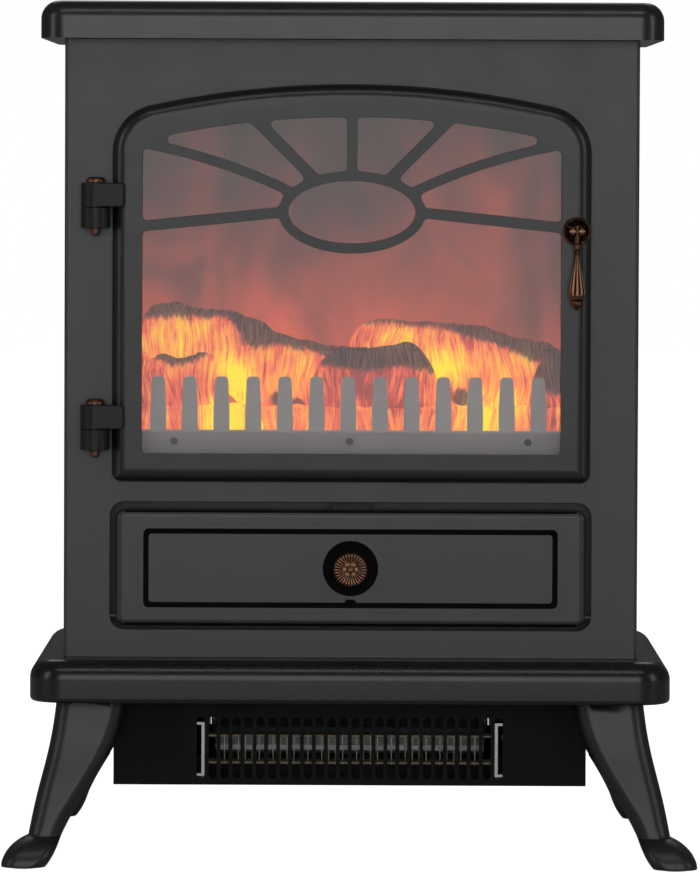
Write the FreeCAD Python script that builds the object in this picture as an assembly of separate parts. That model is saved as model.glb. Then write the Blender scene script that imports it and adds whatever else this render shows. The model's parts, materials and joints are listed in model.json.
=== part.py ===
import FreeCAD, Part
import math
import os

# A compact electric stove: a steel cabinet on four cast corner legs, with a glazed door in front of a
# glowing fuel bed, a drop-down flap over the controls and a fan heater hung under the base.
# Millimetres, +Z up, the door faces -Y. The origin is on the floor, under the middle of the four feet.

# Stack from the floor up
leg_height = 102.0
base_thickness = 26.5
body_height = 388.0
top_thickness = 23.5

# Cabinet plan, and how far the base and the top stand out of it
body_width = 360.0
body_depth = 212.0
base_side_overhang = 20.5
base_front_overhang = 28.0
base_rear_overhang = 16.0
top_side_overhang = 15.0
top_front_overhang = 14.0
top_rear_overhang = 8.0

# Sheet, plate and edge sizes
sheet = 1.2
front_sheet = 1.5
pan_wall = 2.0
top_nose_radius = 11.5
top_plan_radius = 16.0
base_nose_radius = 12.0
base_plan_radius = 22.0
base_heel_radius = 3.0
flange = 14.0
front_return = 12.0

# Clearances
sheet_gap = 0.3
moving_gap = 0.4
pin_play = 0.05
screw_play = 0.1

# Door, with a fanlight of small panes over one large window
door_side_margin = 30.2
door_top_margin = 28.0
door_rail_over_flap = 12.7
door_gap = 1.0
door_thickness = 10.0
door_crown_rise = 19.4
door_shoulder_radius = 30.0
door_foot_radius = 7.0
door_edge_radius = 9.0
stile_width = 18.8
top_rail_width = 20.7
bottom_rail_width = 18.0
pane_corner_radius = 3.0
panel_lap = 4.5
glass_thickness = 4.0
glass_lap = 6.0
glass_play = 0.4
clip_thickness = 1.2
catch_drop = 100.0
catch_width = 7.0
strike_thickness = 1.2
catch_length = 28.0

# Fanlight bars
oval_drop = 80.1
oval_width_share = 0.351
oval_half_height = 25.8
oval_bar = 6.3
centre_bar = 6.6
slant_bar = 7.2
slant_start_share = 0.195
bow_bar = 6.2
bow_outer_drop = 37.5
bow_sag = 3.0
shelf_bar = 6.9
shelf_rise = 0.105
shelf_drop = 89.4

# Door hinges: loose-pin knuckles with a strap on the door and a bracket on the cabinet
knuckle_radius = 9.1
knuckle_stand_off = 0.4
knuckle_side_gap = 1.2
strap_knuckle = 15.0
bracket_knuckle = 13.0
strap_reach = 18.0
strap_thickness = 7.6
strap_corner_radius = 2.0
pin_radius = 2.7
pin_head_radius = 6.0
pin_head_height = 3.4
pin_tip = 4.6
upper_hinge_drop = 62.4
lower_hinge_rise = 33.3

# Drop handle
rosette_radius = 9.0
rosette_thickness = 3.0
handle_drop_from_crown = 91.5
handle_length = 49.0
handle_eye_radius = 3.6
handle_stand_off = 8.0
handle_pin_radius = 1.0

# Control flap under the door
flap_opening_rise = 17.5
flap_opening_height = 80.4
flap_side_margin = 29.0
flap_side_gap = 3.4
flap_bottom_gap = 2.2
flap_top_gap = 4.6
flap_opening_radius = 9.0
flap_thickness = 6.0
flap_proud = 3.0
flap_edge_radius = 4.6
flap_corner_radius = 6.0
flap_bead_inset = 15.1
flap_bead_width = 2.6
flap_bead_height = 1.0
flap_groove_width = 3.4
flap_groove_depth = 2.0
flap_notch_width = 9.0
flap_axis_rise = 6.0
flap_axis_behind = 0.5
flap_pin_radius = 1.5
flap_pin_bite = 10.0
flap_bracket_thickness = 2.2
flap_dish_radius = 17.4
flap_dish_depth = 4.4
flap_knob_radius = 10.6
flap_knob_reach = 13.0
flap_knob_spigot = 2.0

# Control tray behind the flap
tray_depth = 20.0
tray_lap = 3.0
rocker_width = 10.0
rocker_half_height = 7.6
rocker_rest_tilt = 8.0
rocker_pitch = 30.0
rocker_first_x = -84.0
dial_radius = 16.0
dial_height = 13.0
dial_x = 62.0
dial_shaft_radius = 3.0

# Mains lead gland in the rear cover
gland_inset = 48.0
gland_rise = 26.0
gland_bore_radius = 3.7
gland_thread_radius = 8.0
gland_flange_radius = 11.0
gland_nose = 9.0
gland_nut_thickness = 4.5

# Legs
leg_inset = 16.5
leg_corner_radius = 10.0
leg_wall = 8.0
leg_stem_width = 26.5
leg_stem_inset = 2.0
leg_splay = 32.5
rear_leg_step = 6.0
leg_bolt_inset = 24.0
leg_bolt_radius = 3.0
leg_bolt_length = 20.0
leg_bolt_head_radius = 5.0
leg_bolt_head_height = 3.0
foot_pad_radius = 9.0
foot_pad_inset = 13.7
foot_pad_height = 2.9

# Heater under the base
housing_side_margin = 51.5
housing_front_setback = 15.0
housing_rear_setback = 27.0
housing_drop = 55.4
slot_pitch = 7.52
slot_width = 5.0
slot_height = 39.1
slot_rise = 3.9
slot_count = 26
element_length = 183.0
element_depth = 18.0
element_low = 13.4
element_high = 30.4
wire_pitch = 4.4
wire_radius = 0.4
bracket_height = 34.0
fan_radius = 30.0
fan_length = 176.0
fan_blades = 24
fan_gap = 3.0
fan_shaft_radius = 3.0

# Fuel bed, grate and flame effect
tray_setback = 8.0
fuel_depth = 74.0
fret_thickness = 3.0
fret_tooth_pitch = 19.9
fret_tooth_root = 10.0
fret_tooth_tip = 8.0
fret_tooth_shank = 13.0
fret_tip_radius = 2.6
fret_tooth_count = 13
fret_offset = -1.8
fret_rail_top = 32.2
fret_tooth_top = 65.7
flame_gap = 3.0
screen_thickness = 3.0
spindle_radius = 2.5
spindle_flag_length = 20.0
spindle_flag_reach = 11.0
spindle_flags = 13
flame_box_depth = 62.0

# Derived levels and faces
base_z0 = leg_height
base_z1 = base_z0 + base_thickness
body_z0 = base_z1
body_z1 = body_z0 + body_height
top_z1 = body_z1 + top_thickness
base_roof = base_z1 - pan_wall
plan_depth = body_depth + base_front_overhang + base_rear_overhang
body_front = base_front_overhang - plan_depth / 2
body_back = body_front + body_depth
body_half = body_width / 2
base_half = body_half + base_side_overhang
base_front = body_front - base_front_overhang
base_back = body_back + base_rear_overhang
leg_corner_x = base_half - leg_inset
leg_corner_y = (base_back - base_front) / 2 - leg_inset
panel_back = body_front + front_sheet

flap_open_half = body_half - flap_side_margin
flap_open_z0 = body_z0 + flap_opening_rise
flap_open_z1 = flap_open_z0 + flap_opening_height
flap_half = flap_open_half - flap_side_gap
flap_z0 = flap_open_z0 + flap_bottom_gap
flap_z1 = flap_open_z1 - flap_top_gap
flap_front = body_front - flap_proud
flap_back = flap_front + flap_thickness
flap_axis_y = flap_back + flap_axis_behind
flap_axis_z = flap_z0 + flap_axis_rise
flap_mid_z = (flap_z0 + flap_z1) / 2
dish_bottom = flap_front + flap_dish_depth

door_half = body_half - door_side_margin
door_z0 = flap_open_z1 + door_rail_over_flap
door_z1 = body_z1 - door_top_margin
door_back = body_front - door_gap
door_front = door_back - door_thickness
door_crown_radius = (door_half ** 2 + door_crown_rise ** 2) / (2 * door_crown_rise)
door_face_back = door_back - glass_thickness - clip_thickness
window_half = door_half - stile_width
window_z0 = door_z0 + bottom_rail_width
oval_z = door_z1 - oval_drop
oval_half_width = window_half * oval_width_share
slant_start = window_half * slant_start_share

hinge_x = -(door_half + knuckle_side_gap + knuckle_radius)
hinge_y = body_front - knuckle_radius - knuckle_stand_off
upper_hinge_z = door_z1 - upper_hinge_drop
lower_hinge_z = door_z0 + lower_hinge_rise
handle_x = door_half - stile_width / 2
handle_z = door_z1 - handle_drop_from_crown
handle_y = door_front - handle_stand_off
catch_z = handle_z - catch_drop
catch_x1 = door_half - panel_lap - 0.5
catch_x0 = catch_x1 - catch_width

tray_floor = panel_back + tray_depth
rocker_axis_y = tray_floor - 1.0
rocker_xs = [rocker_first_x + i * rocker_pitch for i in range(3)]

housing_half = base_half - housing_side_margin
housing_front = body_front + housing_front_setback
housing_back = body_back - housing_rear_setback
housing_z0 = base_z0 - housing_drop
element_y0 = housing_front + 7.0
element_y1 = element_y0 + element_depth
fan_y = (element_y1 + housing_back) / 2 + 6.0
fan_z = housing_z0 + sheet + fan_radius + fan_gap + sheet + 3.0

bed_z = door_z0 + 13.0
tray_front = panel_back + tray_setback
tray_back = tray_front + fuel_depth
screen_y = tray_back + flame_gap
flame_half = door_half - 1.5
flame_top = door_z1 - 4.0
flame_back = screen_y + screen_thickness + flame_box_depth
spindle_y = screen_y + screen_thickness + 22.0
spindle_z = bed_z + 42.0

gland_x = -body_half + gland_inset
gland_z = body_z0 + gland_rise

X = FreeCAD.Vector(1, 0, 0)
Y = FreeCAD.Vector(0, 1, 0)
Z = FreeCAD.Vector(0, 0, 1)

# Small parts of the control flap
flap_lug_radius = 3.4
flap_lug_length = 12.0
flap_lug_depth = 9.0
catch_half_width = 12.0
catch_depth = 12.0
catch_height = 12.5

# Rocker switches: the bezel in front of the tray floor, the body behind it and its cavity and blades
bezel_half_width = 8.4
bezel_half_height = 12.0
bezel_depth = 2.0
bezel_radius = 1.2
switch_half_width = 6.6
switch_half_height = 10.1
switch_depth = 17.0
switch_hole_play = 0.2
cavity_half_width = 5.4
cavity_half_height = 8.8
cavity_depth = 4.0
blade_length = 7.0
blade_width = 6.0
blade_thickness = 0.8
blade_pitch = 6.0
rocker_pin_radius = 1.0
rocker_pin_length = 1.0
rocker_pin_pocket = 6.3
rocker_crest = 4.6
rocker_valley = 3.4
rocker_skirt = 1.8

# Thermostat: the dial's scallops and pointer, and the body behind the tray
dial_gap = 1.0
dial_edge_radius = 1.4
dial_scallops = 12
dial_scallop_radius = 2.6
dial_scallop_offset = 1.6
dial_pointer_width = 1.6
dial_pointer_height = 0.7
dial_pointer_start = 4.0
dial_pointer_end = 2.4
dial_shaft_length = 16.0
dial_hole_play = 1.2
thermostat_radius = 14.0
thermostat_depth = 20.0
thermostat_ear_reach = 18.0
thermostat_ear_thickness = 1.6
thermostat_blade_offset = 7.0

# Terminal block
terminal_ways = 4
terminal_pitch = 8.0
terminal_end = 6.0
terminal_length = 2 * terminal_end + (terminal_ways - 1) * terminal_pitch
terminal_depth = 16.0
terminal_height = 14.0
terminal_offset = 30.0
terminal_rear_gap = 62.0
terminal_wire_radius = 1.8
terminal_screw_radius = 2.0

# Rear cover: louvre slots and screws
louvre_rows = 9
louvre_length = 74.0
louvre_gap = 16.0
louvre_pitch = 11.0
louvre_height = 4.0
louvre_top_gap = 60.0
cover_screw_levels = 4
cover_screw_end = 20.0
cover_screw_radius = 1.9
cover_screw_length = 8.0
cover_screw_head_radius = 3.6
cover_screw_head_height = 2.2

# Heating element: end brackets, boards and lacing
bracket_rise = 5.4
bracket_web = 2.0
bracket_tab = 12.0
bracket_tab_depth = 10.0
bracket_tab_thickness = 1.6
board_thickness = 1.2
board_end_play = 0.2
wire_edge = 4.0
wire_stand = 1.6

# Cross-flow fan, its motor and its cut-out
scroll_end_gap = 3.0
disc_thickness = 1.5
fan_blade_thickness = 1.0
fan_blade_inner = 8.5
fan_blade_outer = 0.6
fan_blade_pivot = 4.5
fan_blade_lean = 28.0
shaft_left_end = 12.0
shaft_right_end = 20.0
motor_radius = 17.0
motor_length = 26.0
stack_half = 21.0
stack_start = 7.0
stack_thickness = 10.0
stack_radius = 3.0
cutout_radius = 7.0
cutout_depth = 8.0
cutout_ear_thickness = 1.4

# Fuel tray, fret screws and fuel bed
tray_end_gap = 6.0
tray_lip_drop = 14.0
tray_lip_rise = 18.0
tray_back_rise = 14.0
fret_end_lap = 3.0
fret_screw_rise = 25.1
fret_screw_end = 20.0
fret_screw_middle = -0.8
fret_screw_radius = 1.4
fret_screw_length = 7.0
fret_screw_head_radius = 2.3
fret_screw_head_height = 1.3
bed_end_gap = 12.0
bed_edge_gap = 4.0
heap_height = 26.0
heap_radius = 9.0

# Light box: stands, reflector, spindle ends, lamps and motor
stand_half = 120.0
box_sill = 4.0
spindle_end_gap = 1.0
spindle_left_end = 3.0
spindle_right_end = 15.0
flag_thickness = 1.0
flag_twist = 52
flame_motor_radius = 13.0
flame_motor_length = 14.0
flame_motor_ear_reach = 19.0
flame_motor_ear_height = 8.0
flame_motor_ear_thickness = 1.5
bush_radius = 6.0
bush_length = 4.0
lamp_count = 12
lamp_radius = 2.5
lamp_height = 4.5
lamp_end_gap = 28.0
lamp_board_end_gap = 20.0
lamp_board_thickness = 1.6


def point(x, y, z):
    return FreeCAD.Vector(x, y, z)


def box(x0, x1, y0, y1, z0, z1):
    return Part.makeBox(x1 - x0, y1 - y0, z1 - z0, point(x0, y0, z0))


def rod(radius, start, along, length):
    return Part.makeCylinder(radius, length, start, along)


def mirrored(shape):
    return shape.mirror(point(0, 0, 0), X)


def edges_along(shape, direction, test=lambda middle: True):
    """The straight edges that run along a direction and whose middle passes the test."""
    found = []
    for edge in shape.Edges:
        run = edge.Vertexes[-1].Point - edge.Vertexes[0].Point
        if run.Length > 0.01 and run.cross(direction).Length < 0.001 * run.Length:
            if test(edge.BoundBox.Center):
                found.append(edge)
    return found


def edges_in_plane(shape, axis, level, test=lambda middle: True):
    """The edges that lie in the plane where one coordinate, x, y or z, is at the level."""
    found = []
    for edge in shape.Edges:
        bound = edge.BoundBox
        low = getattr(bound, axis.upper() + "Min")
        high = getattr(bound, axis.upper() + "Max")
        if abs(low - level) < 0.01 and abs(high - level) < 0.01 and test(bound.Center):
            found.append(edge)
    return found


def profile_y(points, y0, y1):
    """A polygon of (x, z) points, extruded from y0 to y1."""
    corners = [point(x, y0, z) for x, z in points]
    corners.append(corners[0])
    return Part.Face(Part.makePolygon(corners)).extrude(point(0, y1 - y0, 0))


def turned_profile(points, centre, axis_direction):
    """A solid turned from (radius, distance along the axis) points, standing on the centre."""
    corners = [point(r, 0, h) for r, h in points]
    corners.append(corners[0])
    solid = Part.Face(Part.makePolygon(corners)).revolve(point(0, 0, 0), Z, 360)
    solid.Placement = FreeCAD.Placement(centre, FreeCAD.Rotation(Z, axis_direction))
    return solid


def rounded_slab(half_width, y0, y1, z0, z1, plan_radius, nose_radius, heel_radius):
    """A slab with rounded plan corners, a rounded top edge and a smaller rounded bottom edge."""
    slab = box(-half_width, half_width, y0, y1, z0, z1)
    slab = slab.makeFillet(plan_radius, edges_along(slab, Z))
    slab = slab.makeFillet(nose_radius, edges_in_plane(slab, "z", z1))
    if heel_radius > 0:
        slab = slab.makeFillet(heel_radius, edges_in_plane(slab, "z", z0))
    return slab


def arched_block(half_width, z0, crown, crown_radius, y0, y1):
    """A block with a straight foot and sides and a gently arched head."""
    block = box(-half_width, half_width, y0, y1, z0, crown + 1)
    arch = rod(crown_radius, point(0, y0 - 1, crown - crown_radius), Y, y1 - y0 + 2)
    return block.common(arch)


def screw(head_centre, outward, head_radius, head_height, shank_radius, shank_length):
    """A round-headed cross-slot screw. The head stands outward of its centre point."""
    head = rod(head_radius, point(0, 0, 0), Z, head_height)
    head = head.makeFillet(head_height * 0.45, edges_in_plane(head, "z", head_height))
    slot = head_radius * 0.7
    half_slot = head_radius * 0.14
    depth = head_height * 0.5
    cross = box(-slot, slot, -half_slot, half_slot, head_height - depth, head_height + 1)
    cross = cross.fuse(box(-half_slot, half_slot, -slot, slot, head_height - depth, head_height + 1))
    shank = rod(shank_radius, point(0, 0, -shank_length), Z, shank_length)
    made = head.cut(cross).fuse(shank)
    made.Placement = FreeCAD.Placement(head_centre, FreeCAD.Rotation(Z, outward))
    return made


def screw_holes(places, outward, shank_radius, length):
    """Clearance holes for screws whose heads sit at the places."""
    start = [place + outward * 2 for place in places]
    return [rod(shank_radius + screw_play, at, -outward, length + 2) for at in start]


def panes():
    """The glazed openings of the door: one large window and six fanlight panes round an oval."""
    y0 = door_front - 1
    y1 = door_face_back + 0.5
    crown = door_z1 - top_rail_width
    opening = arched_block(window_half, window_z0, crown, door_crown_radius - top_rail_width, y0, y1)
    centre = point(0, y0, oval_z)
    outer = Part.Ellipse(centre + X * oval_half_width, centre + Z * oval_half_height, centre)
    inner_width = oval_half_width - oval_bar
    inner_height = oval_half_height - oval_bar
    inner = Part.Ellipse(centre + X * inner_width, centre + Z * inner_height, centre)
    depth = point(0, y1 - y0, 0)
    outer = Part.Face(Part.Wire(outer.toShape())).extrude(depth)
    inner = Part.Face(Part.Wire(inner.toShape())).extrude(depth)
    bars = [outer, box(-centre_bar / 2, centre_bar / 2, y0, y1, oval_z, door_z1)]
    slant = box(-12, 80, y0, y1, -slant_bar / 2, slant_bar / 2)
    slant.rotate(point(0, 0, 0), Y, -45)
    slant.translate(point(slant_start, 0, oval_z + oval_half_height * 0.88))
    rise = (window_half - oval_half_width * 0.9) * shelf_rise
    outer_z = door_z1 - shelf_drop
    shelf_start = oval_half_width * 0.9
    shelf_end = window_half + 1
    shelf = profile_y([
        (shelf_start, outer_z + rise - shelf_bar / 2), (shelf_end, outer_z - shelf_bar / 2),
        (shelf_end, outer_z + shelf_bar / 2), (shelf_start, outer_z + rise + shelf_bar / 2)], y0, y1)
    inner_end = point(oval_half_width * 0.965, 0, oval_z + oval_half_height * 0.6)
    outer_end = point(window_half, 0, door_z1 - bow_outer_drop)
    chord = outer_end - inner_end
    bow_radius = (chord.Length ** 2 / 4 + bow_sag ** 2) / (2 * bow_sag)
    across = point(chord.z, 0, -chord.x)
    across.normalize()
    bow_centre = (inner_end + outer_end) * 0.5 + across * (bow_radius - bow_sag)
    bow_centre.y = y0
    bow = rod(bow_radius + bow_bar / 2, bow_centre, Y, y1 - y0)
    bow = bow.cut(rod(bow_radius - bow_bar / 2, bow_centre, Y, y1 - y0))
    clip = box(oval_half_width * 0.75, window_half + 1, y0, y1, oval_z, door_z1)
    right_bars = [slant, shelf, bow.common(clip)]
    bars += right_bars + [mirrored(bar) for bar in right_bars]
    made = [pane.makeFillet(pane_corner_radius, edges_along(pane, Y)) for pane in opening.cut(bars).Solids]
    return made + [inner]


def door_frame():
    """Cast door: stiles, rails and fanlight bars, rebated behind for one sheet of glass."""
    blank = arched_block(door_half, door_z0, door_z1, door_crown_radius, door_front, door_back)
    shoulders = edges_along(blank, Y, lambda middle: middle.z > door_z0 + 1)
    blank = blank.makeFillet(door_shoulder_radius, shoulders)
    blank = blank.makeFillet(door_edge_radius, edges_in_plane(blank, "y", door_front))
    foot = box(-door_half, door_half, door_front - 1, door_back + 1, door_z0, door_z1)
    feet = edges_along(foot, Y, lambda middle: middle.z < door_z0 + 1)
    blank = blank.common(foot.makeFillet(door_foot_radius, feet))
    frame = blank.cut(panes()).cut(glass_rebate(0))
    for x, z in clip_places():
        side = 1 if x > 0 else -1
        pocket = box(-4, 8, door_back - clip_thickness, door_back + 1, z - 6.3, z + 6.3)
        if side < 0:
            pocket = mirrored(pocket)
        pocket.translate(point(side * (window_half + glass_lap - 1), 0, 0))
        frame = frame.cut(pocket)
    frame = frame.cut(screw_holes(clip_screw_places(), Y, 1.4, clip_thickness + 3.5))
    return frame.cut(strike_block(0.05))


def glass_rebate(shrink):
    """The space that the glass fills. A shrink makes the glass itself, a little smaller all round."""
    grow = glass_lap - shrink
    crown = door_z1 - top_rail_width + grow
    radius = door_crown_radius - top_rail_width + grow
    back = door_back + 1 if shrink == 0 else door_back - clip_thickness
    block = arched_block(window_half + grow, window_z0 - grow, crown, radius, door_face_back, back)
    return block.makeFillet(pane_corner_radius, edges_along(block, Y))


def clip_places():
    """Clips hold the glass along both stiles, on its edge."""
    edge = window_half + glass_lap
    levels = [window_z0 + 12, (window_z0 + oval_z) / 2, oval_z + 22]
    return [(side * edge, z) for side in (-1, 1) for z in levels]


def clip_screw_places():
    return [point(x + math.copysign(3.6, x), door_back, z) for x, z in clip_places()]


def glass_clips():
    clips = []
    for x, z in clip_places():
        clip = box(-4.8, 6.8, door_back - clip_thickness, door_back, z - 6, z + 6)
        if x < 0:
            clip = mirrored(clip)
        clip.translate(point(x, 0, 0))
        clips.append(clip.cut(screw_holes(clip_screw_places(), Y, 1.4, 6)))
    return Part.makeCompound(clips)


def glass_clip_screws():
    return Part.makeCompound([screw(at, Y, 2.6, 1.4, 1.4, 4.4) for at in clip_screw_places()])


def strike_block(grow):
    """Steel strike let into the back of the handle stile, opposite the magnet."""
    half = catch_length / 2 + grow
    return box(catch_x0 - grow, catch_x1 + grow, door_back - strike_thickness, door_back + grow, catch_z - half,
               catch_z + half)


def door_magnet():
    """Magnetic catch behind the cabinet front, held by an ear on the edge of the door opening."""
    half = catch_length / 2
    magnet = box(catch_x0, catch_x1, door_back + moving_gap, panel_back + catch_width, catch_z - half, catch_z + half)
    ear = box(catch_x0 + 2, catch_x1 + flange, panel_back, panel_back + front_sheet, catch_z - 9, catch_z + 9)
    return magnet.fuse(ear)


def hinge_parts():
    """Door-side straps, cabinet-side brackets and the loose pins of both hinges."""
    straps = []
    brackets = []
    pins = []
    for z in (upper_hinge_z - strap_knuckle, lower_hinge_z):
        centre = point(hinge_x, hinge_y, z)
        bore = rod(pin_radius + pin_play, centre - Z * 60, Z, 120)
        knuckle = rod(knuckle_radius, centre, Z, strap_knuckle)
        lug_end = hinge_x + strap_reach
        lug = box(hinge_x, lug_end, door_front - strap_thickness, door_front, z, z + strap_knuckle)
        lug = lug.makeFillet(strap_corner_radius, edges_along(lug, Y, lambda middle: middle.x > lug_end - 1))
        lug = lug.makeFillet(strap_corner_radius / 2, edges_in_plane(lug, "y", door_front - strap_thickness))
        strap = knuckle.fuse(lug).removeSplitter()
        straps.append(strap.cut(bore))
        low = centre - Z * (bracket_knuckle + sheet_gap)
        leaf = box(hinge_x - knuckle_radius * 0.55, hinge_x + knuckle_radius * 0.55, hinge_y, body_front,
                   low.z, low.z + bracket_knuckle)
        bracket = rod(knuckle_radius, low, Z, bracket_knuckle).fuse(leaf)
        press = rod(pin_radius, low - Z * 5, Z, bracket_knuckle + 10)
        brackets.append(bracket.cut(press))
        head = centre + Z * (strap_knuckle + sheet_gap)
        shank = rod(pin_radius, low - Z * pin_tip, Z, head.z - low.z + pin_tip)
        shank = shank.makeFillet(pin_radius * 0.8, edges_in_plane(shank, "z", low.z - pin_tip))
        cap = rod(pin_head_radius, head, Z, pin_head_height)
        cap = cap.makeFillet(pin_head_height * 0.85, edges_in_plane(cap, "z", head.z + pin_head_height))
        pins.append(shank.fuse(cap))
    return Part.makeCompound(straps), Part.makeCompound(brackets), Part.makeCompound(pins)


def handle_rosette():
    """Dished rose on the stile, with a two-eared post that carries the drop."""
    centre = point(handle_x, door_front, handle_z)
    dish = turned_profile([
        (0, 0), (rosette_radius, 0), (rosette_radius, rosette_thickness * 0.5),
        (rosette_radius - 0.9, rosette_thickness), (rosette_radius - 2.2, rosette_thickness * 0.75),
        (rosette_radius * 0.45, rosette_thickness * 0.45), (0, rosette_thickness * 0.6)], centre, -Y)
    ears = []
    for side in (-1, 1):
        x0 = handle_x + side * 2.9 - 1.1
        ear = box(x0, x0 + 2.2, handle_y, door_front, handle_z - 2.4, handle_z + 2.4)
        ears.append(ear.fuse(rod(2.4, point(x0, handle_y, handle_z), X, 2.2)))
    hole = rod(handle_pin_radius, point(handle_x - 9, handle_y, handle_z), X, 18)
    return dish.fuse(ears).cut(hole)


def handle_pin():
    return rod(handle_pin_radius, point(handle_x - 4.6, handle_y, handle_z), X, 9.2)


def handle_drop():
    """Turned drop: an eye on the pin, a slim neck, a fluted bell and a ringed tip."""
    eye = rod(handle_eye_radius, point(handle_x - 1.5, handle_y, handle_z), X, 3.0)
    top = point(handle_x, handle_y, handle_z - 2)
    length = handle_length - 2
    shape = [(0, 0), (1.5, 0), (1.6, 6), (2.5, 7), (2.5, 9), (1.7, 10), (1.9, 16), (3.2, 24), (4.9, 32),
             (5.5, 37), (5.2, 40), (3.4, 41.5), (3.9, 42.5), (3.9, 44), (2.6, 44.8), (2.2, 46), (0, length)]
    drop = turned_profile(shape, top, -Z)
    made = eye.fuse(drop)
    return made.cut(rod(handle_pin_radius + pin_play, point(handle_x - 4, handle_y, handle_z), X, 8))


def control_flap():
    """Pillow-edged flap with a beaded frame, a groove inside the bead and a dish behind the knob."""
    flap = box(-flap_half, flap_half, flap_front, flap_back, flap_z0, flap_z1)
    flap = flap.makeFillet(flap_corner_radius, edges_along(flap, Y))
    flap = flap.makeFillet(flap_edge_radius, edges_in_plane(flap, "y", flap_front))
    bead_x = flap_half - flap_bead_inset
    bead_z = (flap_z1 - flap_z0) / 2 - flap_bead_inset * 0.62
    bead = box(-bead_x, bead_x, flap_front - flap_bead_height, flap_front + 1, flap_mid_z - bead_z,
               flap_mid_z + bead_z)
    bead = bead.makeFillet(flap_corner_radius, edges_along(bead, Y))
    groove_x = bead_x - flap_bead_width
    groove_z = bead_z - flap_bead_width
    groove_y = flap_front + flap_groove_depth
    groove = box(-groove_x, groove_x, flap_front - 5, groove_y, flap_mid_z - groove_z, flap_mid_z + groove_z)
    groove = groove.makeFillet(flap_corner_radius - flap_bead_width, edges_along(groove, Y))
    field_x = groove_x - flap_groove_width
    field_z = groove_z - flap_groove_width
    field = box(-field_x, field_x, flap_front, groove_y + 1, flap_mid_z - field_z, flap_mid_z + field_z)
    field = field.makeFillet(flap_corner_radius / 3, edges_along(field, Y))
    notch_z = flap_mid_z - field_z
    half_notch = flap_notch_width / 2
    notch = profile_y([(-half_notch, notch_z - 1), (half_notch, notch_z - 1), (half_notch - 2, notch_z + 2),
                       (2 - half_notch, notch_z + 2)], flap_front - 1, groove_y)
    flap = flap.fuse(bead).cut(groove).fuse(field).removeSplitter().cut(notch)
    dish_radius = (flap_dish_radius ** 2 + flap_dish_depth ** 2) / (2 * flap_dish_depth)
    flap = flap.cut(Part.makeSphere(dish_radius, point(0, dish_bottom - dish_radius, flap_mid_z)))
    for side in (-1, 1):
        x0 = side * (flap_half - flap_lug_length / 2) - flap_lug_length / 2
        lug = rod(flap_lug_radius, point(x0, flap_axis_y, flap_axis_z), X, flap_lug_length)
        flap = flap.fuse(lug.common(box(-flap_half, flap_half, flap_back - flap_lug_length / 3,
                                        flap_back + flap_lug_depth, flap_z0, flap_z1)))
    pin_holes = [rod(flap_pin_radius, point(side * flap_half - flap_pin_bite, flap_axis_y, flap_axis_z), X,
                     2 * flap_pin_bite) for side in (-1, 1)]
    knob_hole = rod(flap_knob_spigot, point(0, flap_front - 5, flap_mid_z), Y, 20)
    return flap.cut(pin_holes + [knob_hole])


def flap_pins():
    outer = flap_open_half + sheet_gap + flap_bracket_thickness
    inner = flap_half - flap_pin_bite
    return Part.makeCompound([
        rod(flap_pin_radius, point(start, flap_axis_y, flap_axis_z), X, outer - inner) for start in (-outer, inner)])


def flap_knob():
    """Flower knob: a stem, a dished face with two rings of raised petals, and a round boss."""
    back = dish_bottom - 0.5
    base = point(0, back, flap_mid_z)
    reach = back - flap_front + flap_knob_reach
    r = flap_knob_radius
    knob = turned_profile([
        (0, -2.0), (2.0, -2.0), (2.0, 0), (5.2, 0), (4.0, 2.5), (4.0, reach - 7), (r * 0.8, reach - 5),
        (r, reach - 3.4), (r, reach - 2.2), (r * 0.85, reach - 1.4), (r * 0.3, reach - 1.9), (0, reach - 1.4)],
        base, -Y)
    face = back - reach
    petals = []
    for count, ring, size in ((24, 0.82, 0.95), (6, 0.42, 1.3)):
        for i in range(count):
            turn = 2 * math.pi * i / count
            at = point(ring * r * math.cos(turn), face + 0.6, flap_mid_z + ring * r * math.sin(turn))
            petals.append(rod(size, at, Y, 2.0))
    petals.append(rod(1.6, point(0, face + 0.2, flap_mid_z), Y, 2.4))
    return knob.fuse(petals)


def flap_hinge_brackets():
    """A small plate at each side of the flap opening, bored for the flap's pin."""
    x0 = flap_open_half + sheet_gap
    plate = box(x0, x0 + flap_bracket_thickness, panel_back, flap_axis_y + 6, flap_axis_z - 7, flap_axis_z + 9)
    plate = plate.cut(rod(flap_pin_radius + pin_play, point(x0 - 5, flap_axis_y, flap_axis_z), X, 15))
    return Part.makeCompound([plate, mirrored(plate)])


def flap_catch():
    """Small magnet block under the roof of the control tray, just behind the closed flap."""
    z1 = flap_open_z1 + tray_lap - front_sheet
    return box(-catch_half_width, catch_half_width, flap_back + moving_gap, flap_back + catch_depth,
               z1 - catch_height, z1)


def control_tray():
    """Pressed tray behind the flap opening. Its floor carries the switches and the thermostat."""
    half = flap_open_half + tray_lap + front_sheet
    z0 = flap_open_z0 - tray_lap - front_sheet
    z1 = flap_open_z1 + tray_lap
    tray = box(-half, half, panel_back, tray_floor + front_sheet, z0, z1)
    hollow = box(-half + front_sheet, half - front_sheet, panel_back - 1, tray_floor, z0 + front_sheet,
                 z1 - front_sheet)
    tray = tray.cut(hollow)
    for x in rocker_xs:
        half_width = switch_half_width + switch_hole_play
        half_height = switch_half_height + switch_hole_play
        tray = tray.cut(box(x - half_width, x + half_width, tray_floor - 1, tray_floor + 5,
                            flap_mid_z - half_height, flap_mid_z + half_height))
    return tray.cut(rod(dial_shaft_radius + dial_hole_play, point(dial_x, tray_floor - 1, flap_mid_z), Y, 6))


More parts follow.
